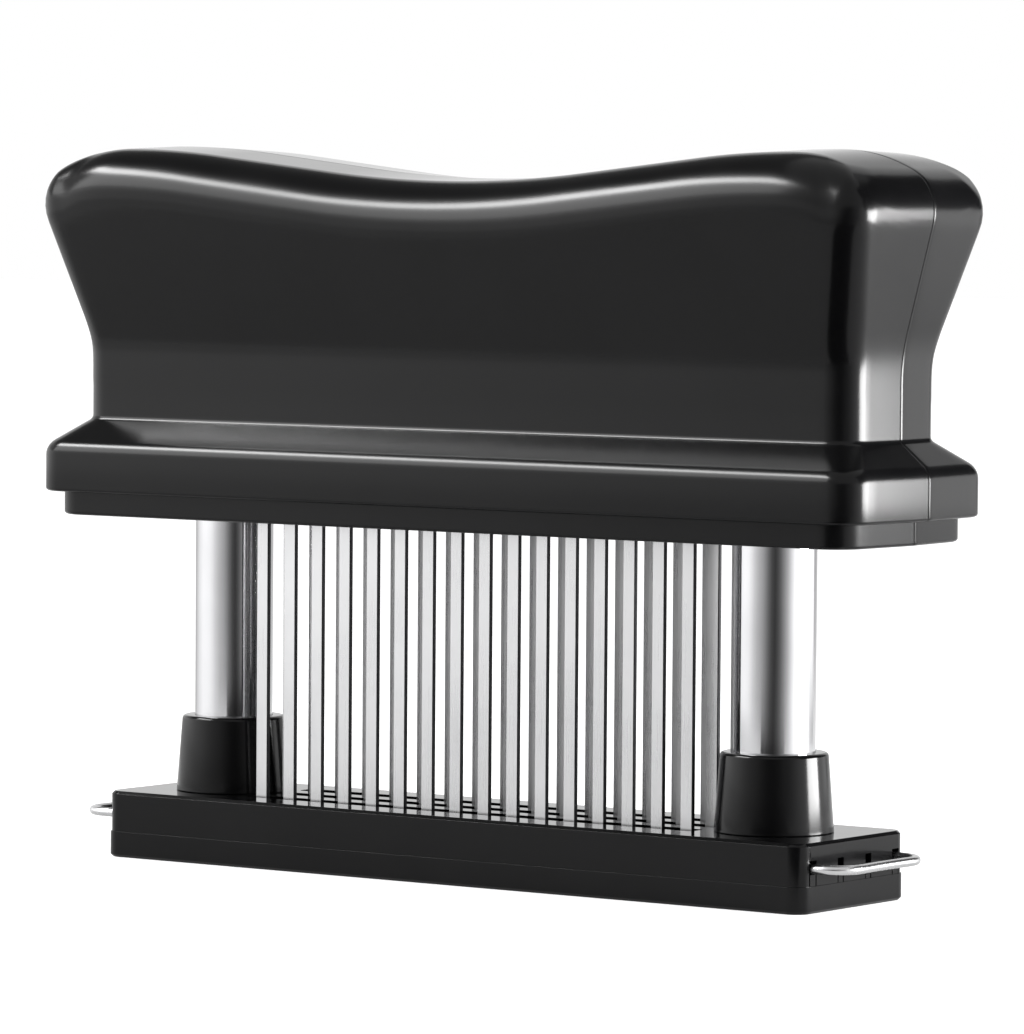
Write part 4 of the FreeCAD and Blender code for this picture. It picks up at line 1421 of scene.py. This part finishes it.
@dataclass
class Studio:
    """Pale floor, white surroundings, card, cloths, soft lamps and the camera.

    Lengths are metres and angles degrees. An azimuth is counted from the front towards the
    right. The card's and the cloths' places follow the mirrored bands that they make.
    """

    floor_half: float = 4.0
    floor_level: float = -0.00005
    floor_white: float = 0.8
    floor_glow: float = 0.62
    floor_mirrored: float = 0.35
    matt_light: float = 0.6
    card_radius: float = 0.56
    card_height: float = 0.2
    card_foot: float = 0.0003
    card_inner_share: float = 0.5
    card_near_share: float = 0.75
    card_beside_from: float = 95.0
    card_front_until: float = 60.0
    card_lift_from: float = 0.024
    card_lift_to: float = 0.038
    card_lift: float = 1.45
    flag_height: float = 0.95
    flag_glow: float = 0.2
    cloth_inner_radius: float = 0.095
    image: tuple[int, int] = (1024, 1034)
    azimuth: float = 35.713
    pitch: float = 3.031
    roll: float = 0.395
    focal_pixels: float = 6487.0
    distance: float = 0.97146
    aim_height: float = 0.054136
    aim_right: float = 0.002164
    sensor: float = 36.0

    def camera(self) -> None:
        """Sets the camera from its azimuth, pitch, roll, focal length and distance."""
        az, pitch, roll = (math.radians(a) for a in (self.azimuth, self.pitch, self.roll))
        back = Vector((math.sin(az) * math.cos(pitch), -math.cos(az) * math.cos(pitch), math.sin(pitch)))
        right = Vector((math.cos(az), math.sin(az), 0.0))
        up = back.cross(right)
        right_rolled = math.cos(roll) * right + math.sin(roll) * up
        up_rolled = -math.sin(roll) * right + math.cos(roll) * up
        place = Vector((0.0, 0.0, self.aim_height)) + right * self.aim_right + back * self.distance
        data = bpy.data.cameras.new("camera")
        data.sensor_width = self.sensor
        data.lens = self.focal_pixels / max(self.image) * self.sensor
        camera = placed("camera", data)
        turn = Matrix((right_rolled, up_rolled, back)).transposed().to_4x4()
        camera.matrix_world = Matrix.Translation(place) @ turn
        bpy.context.scene.camera = camera

    def world(self) -> None:
        """White all round for what is seen and mirrored, softer for what lights matt surfaces."""
        world = bpy.data.worlds.new("surroundings")
        world.use_nodes = True
        tree = world.node_tree
        shader = tree.nodes["Background"]
        ray = add(tree, "ShaderNodeLightPath").outputs
        seen = combined(tree, "MAXIMUM", ray["Is Camera Ray"], ray["Is Glossy Ray"])
        seen = combined(tree, "MAXIMUM", seen, ray["Is Transmission Ray"])
        strength = ranged(tree, seen, 0.0, 1.0, self.matt_light, 1.0)
        tree.links.new(strength, shader.inputs["Strength"])
        shader.inputs["Color"].default_value = WHITE
        bpy.context.scene.world = world

    def floor(self) -> None:
        """A pale floor, white where nothing shades it, that shines less where it is mirrored."""
        half = self.floor_half / MM
        mesh = Mesh()
        span = np.array([-half, half])
        x, y = np.meshgrid(span, span)
        mesh.add_grid(np.stack([x, y, np.full_like(x, self.floor_level / MM)], -1))
        floor = mesh.piece("studio_floor")
        material, tree, shader = new_material("floor_paper")
        shader.inputs["Base Color"].default_value = opaque((self.floor_white,) * 3)
        shader.inputs["Roughness"].default_value = 0.9
        shader.inputs["Specular IOR Level"].default_value = 0.1
        ray = add(tree, "ShaderNodeLightPath").outputs
        mirrored = combined(tree, "MAXIMUM", ray["Is Glossy Ray"], ray["Is Transmission Ray"])
        soft = combined(tree, "MULTIPLY", mirrored, self.floor_mirrored)
        seen = combined(tree, "MAXIMUM", ray["Is Camera Ray"], soft)
        shader.inputs["Emission Color"].default_value = WHITE
        strength = ranged(tree, seen, 0.0, 1.0, 0.0, self.floor_glow)
        tree.links.new(strength, shader.inputs["Emission Strength"])
        floor.data.materials.append(material)
        floor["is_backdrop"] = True

    def card_glow(self, points: Array) -> Array:
        """How brightly the card shines at its points.

        The glow follows the azimuth. The part that lies on the floor near the object has a
        glow of its own at the right and behind, and at the left and in front the upright
        part is lifted above its foot.

        Args:
            points: Points of the card in metres, one a line.

        Returns:
            One glow for each point.
        """
        glow = np.array([(-135, 0.95), (-118, 0.7), (-108, 0.85), (-100, 1.15), (-88, 1.55), (-70, 1.95),
                         (-56, 1.95), (-44, 1.85), (-34, 1.6), (-26, 1.3), (-17, 1.05), (-8, 0.85),
                         (1, 0.68), (10, 0.45), (18, 0.26), (26, 0.13), (36, 0.07), (44, 0.13),
                         (52, 0.26), (60, 0.5), (69, 0.85), (78, 1.45), (88, 2.2), (100, 2.6),
                         (125, 2.4), (150, 2.4), (162, 1.8)])
        near_glow = np.array([(95, 2.4), (110, 3.4), (122, 3.9), (130, 3.1), (136, 1.3), (146, 0.8),
                              (162, 0.8)])
        around = np.degrees(np.arctan2(points[:, 0], -points[:, 1]))
        radius = np.hypot(points[:, 0], points[:, 1])
        level = np.interp(around, glow[:, 0], glow[:, 1])
        beside = (around > self.card_beside_from) & (radius < self.card_near_share * self.card_radius)
        level = np.where(beside, np.interp(around, near_glow[:, 0], near_glow[:, 1]), level)
        lifted = np.interp(points[:, 2], [self.card_lift_from, self.card_lift_to], [1.0, self.card_lift])
        return level * np.where(around < self.card_front_until, lifted, 1.0)

    def card(self) -> None:
        """A curved card that the polished pieces mirror, bright left and dark at the camera.

        A profile that runs out along the floor and then straight up is carried round. It
        has extra points where the card's lift starts and ends.
        """
        azimuth = np.radians(np.linspace(-135.0, 162.0, 150))
        profile = np.array([(self.card_inner_share * self.card_radius, self.card_foot),
                            (self.card_radius, self.card_foot), (self.card_radius, self.card_lift_from),
                            (self.card_radius, self.card_lift_to),
                            (self.card_radius, self.card_height)]) / MM
        mesh = Mesh()
        mesh.add_grid(carried_round(profile[:, :1], azimuth, profile[:, 1:]))
        card = mesh.piece("studio_card")
        points = np.empty(len(card.data.vertices) * 3)
        card.data.vertices.foreach_get("co", points)
        attribute = card.data.attributes.new("glow", "FLOAT", "POINT")
        attribute.data.foreach_set("value", self.card_glow(points.reshape(-1, 3)).astype(np.float32))
        material, tree, shader = self_lit("card_paint", (0.0, 0.0, 0.0))
        level = add(tree, "ShaderNodeAttribute", attribute_name="glow")
        tree.links.new(level.outputs["Fac"], shader.inputs["Emission Strength"])
        card.data.materials.append(material)
        only_mirrored(card)
        card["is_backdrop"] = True

    def cloth(self, name: str, grid: Array, glow: float = 0.0) -> None:
        """Hangs or lays a cloth that only mirrored rays meet: black, or grey where it glows.

        Args:
            name: Name of the cloth.
            grid: Its surface.
            glow: How brightly it shines by itself.
        """
        mesh = Mesh()
        mesh.add_grid(grid)
        cloth = mesh.piece(name)
        material, _, shader = self_lit(f"{name}_weave", (0.005, 0.005, 0.005))
        shader.inputs["Emission Strength"].default_value = glow
        cloth.data.materials.append(material)
        only_mirrored(cloth)
        cloth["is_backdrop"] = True

    def cloths(self) -> None:
        """A grey flag overhead at the left, a cloth on the floor in front and one hung behind.

        The cloth in front reaches from close to the object out to the card's inner edge. The
        one behind hangs just inside the card's radius, above its lit part.
        """
        x, y = np.meshgrid(np.array([-1500.0, -380.0]), np.array([-900.0, 1100.0]))
        flag = np.stack([x, y, np.full_like(x, self.flag_height / MM)], -1)
        self.cloth("studio_flag", flag, glow=self.flag_glow)
        reach = np.array([[self.cloth_inner_radius], [self.card_inner_share * self.card_radius]]) / MM
        azimuth = np.radians(np.linspace(6.0, 66.0, 24))
        self.cloth("studio_front_cloth", carried_round(reach, azimuth, self.card_foot / MM))
        height = np.array([[125.0], [700.0]])
        azimuth = np.radians(np.linspace(92.0, 175.0, 30))
        radius = self.card_radius / MM - 5.0
        self.cloth("studio_back_cloth", carried_round(radius, azimuth, height))

    def build(self) -> None:
        """Builds the studio and sets the view."""
        self.camera()
        self.world()
        self.floor()
        self.card()
        self.cloths()
        for lamp in LAMPS:
            lamp.build()
        bpy.context.scene.view_settings.view_transform = "Standard"


# ---------------------------------------------------------------- whole
def corners() -> list[list[float]]:
    """The whole object's box as plain lists."""
    return [list(map(float, corner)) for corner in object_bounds()]


def main() -> None:
    """Builds every piece in order."""
    logging.basicConfig(level=logging.INFO, format="%(name)s: %(message)s")
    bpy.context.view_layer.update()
    effects = Effects()
    finishes = {kind.name: kind.material(effects) for kind in FINISHES}
    low, high = (np.array(corner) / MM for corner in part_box("front_shell"))
    form = GripForm(rest_height=low[2], crown_top=high[2])
    Grip(form).build(finishes)
    BladePack().build(finishes)
    for end in End:
        Column(end).build(finishes)
        LockPin(end).build(finishes)
    Base().build(finishes)
    Studio().build()


if __name__ == "__main__":
    main()
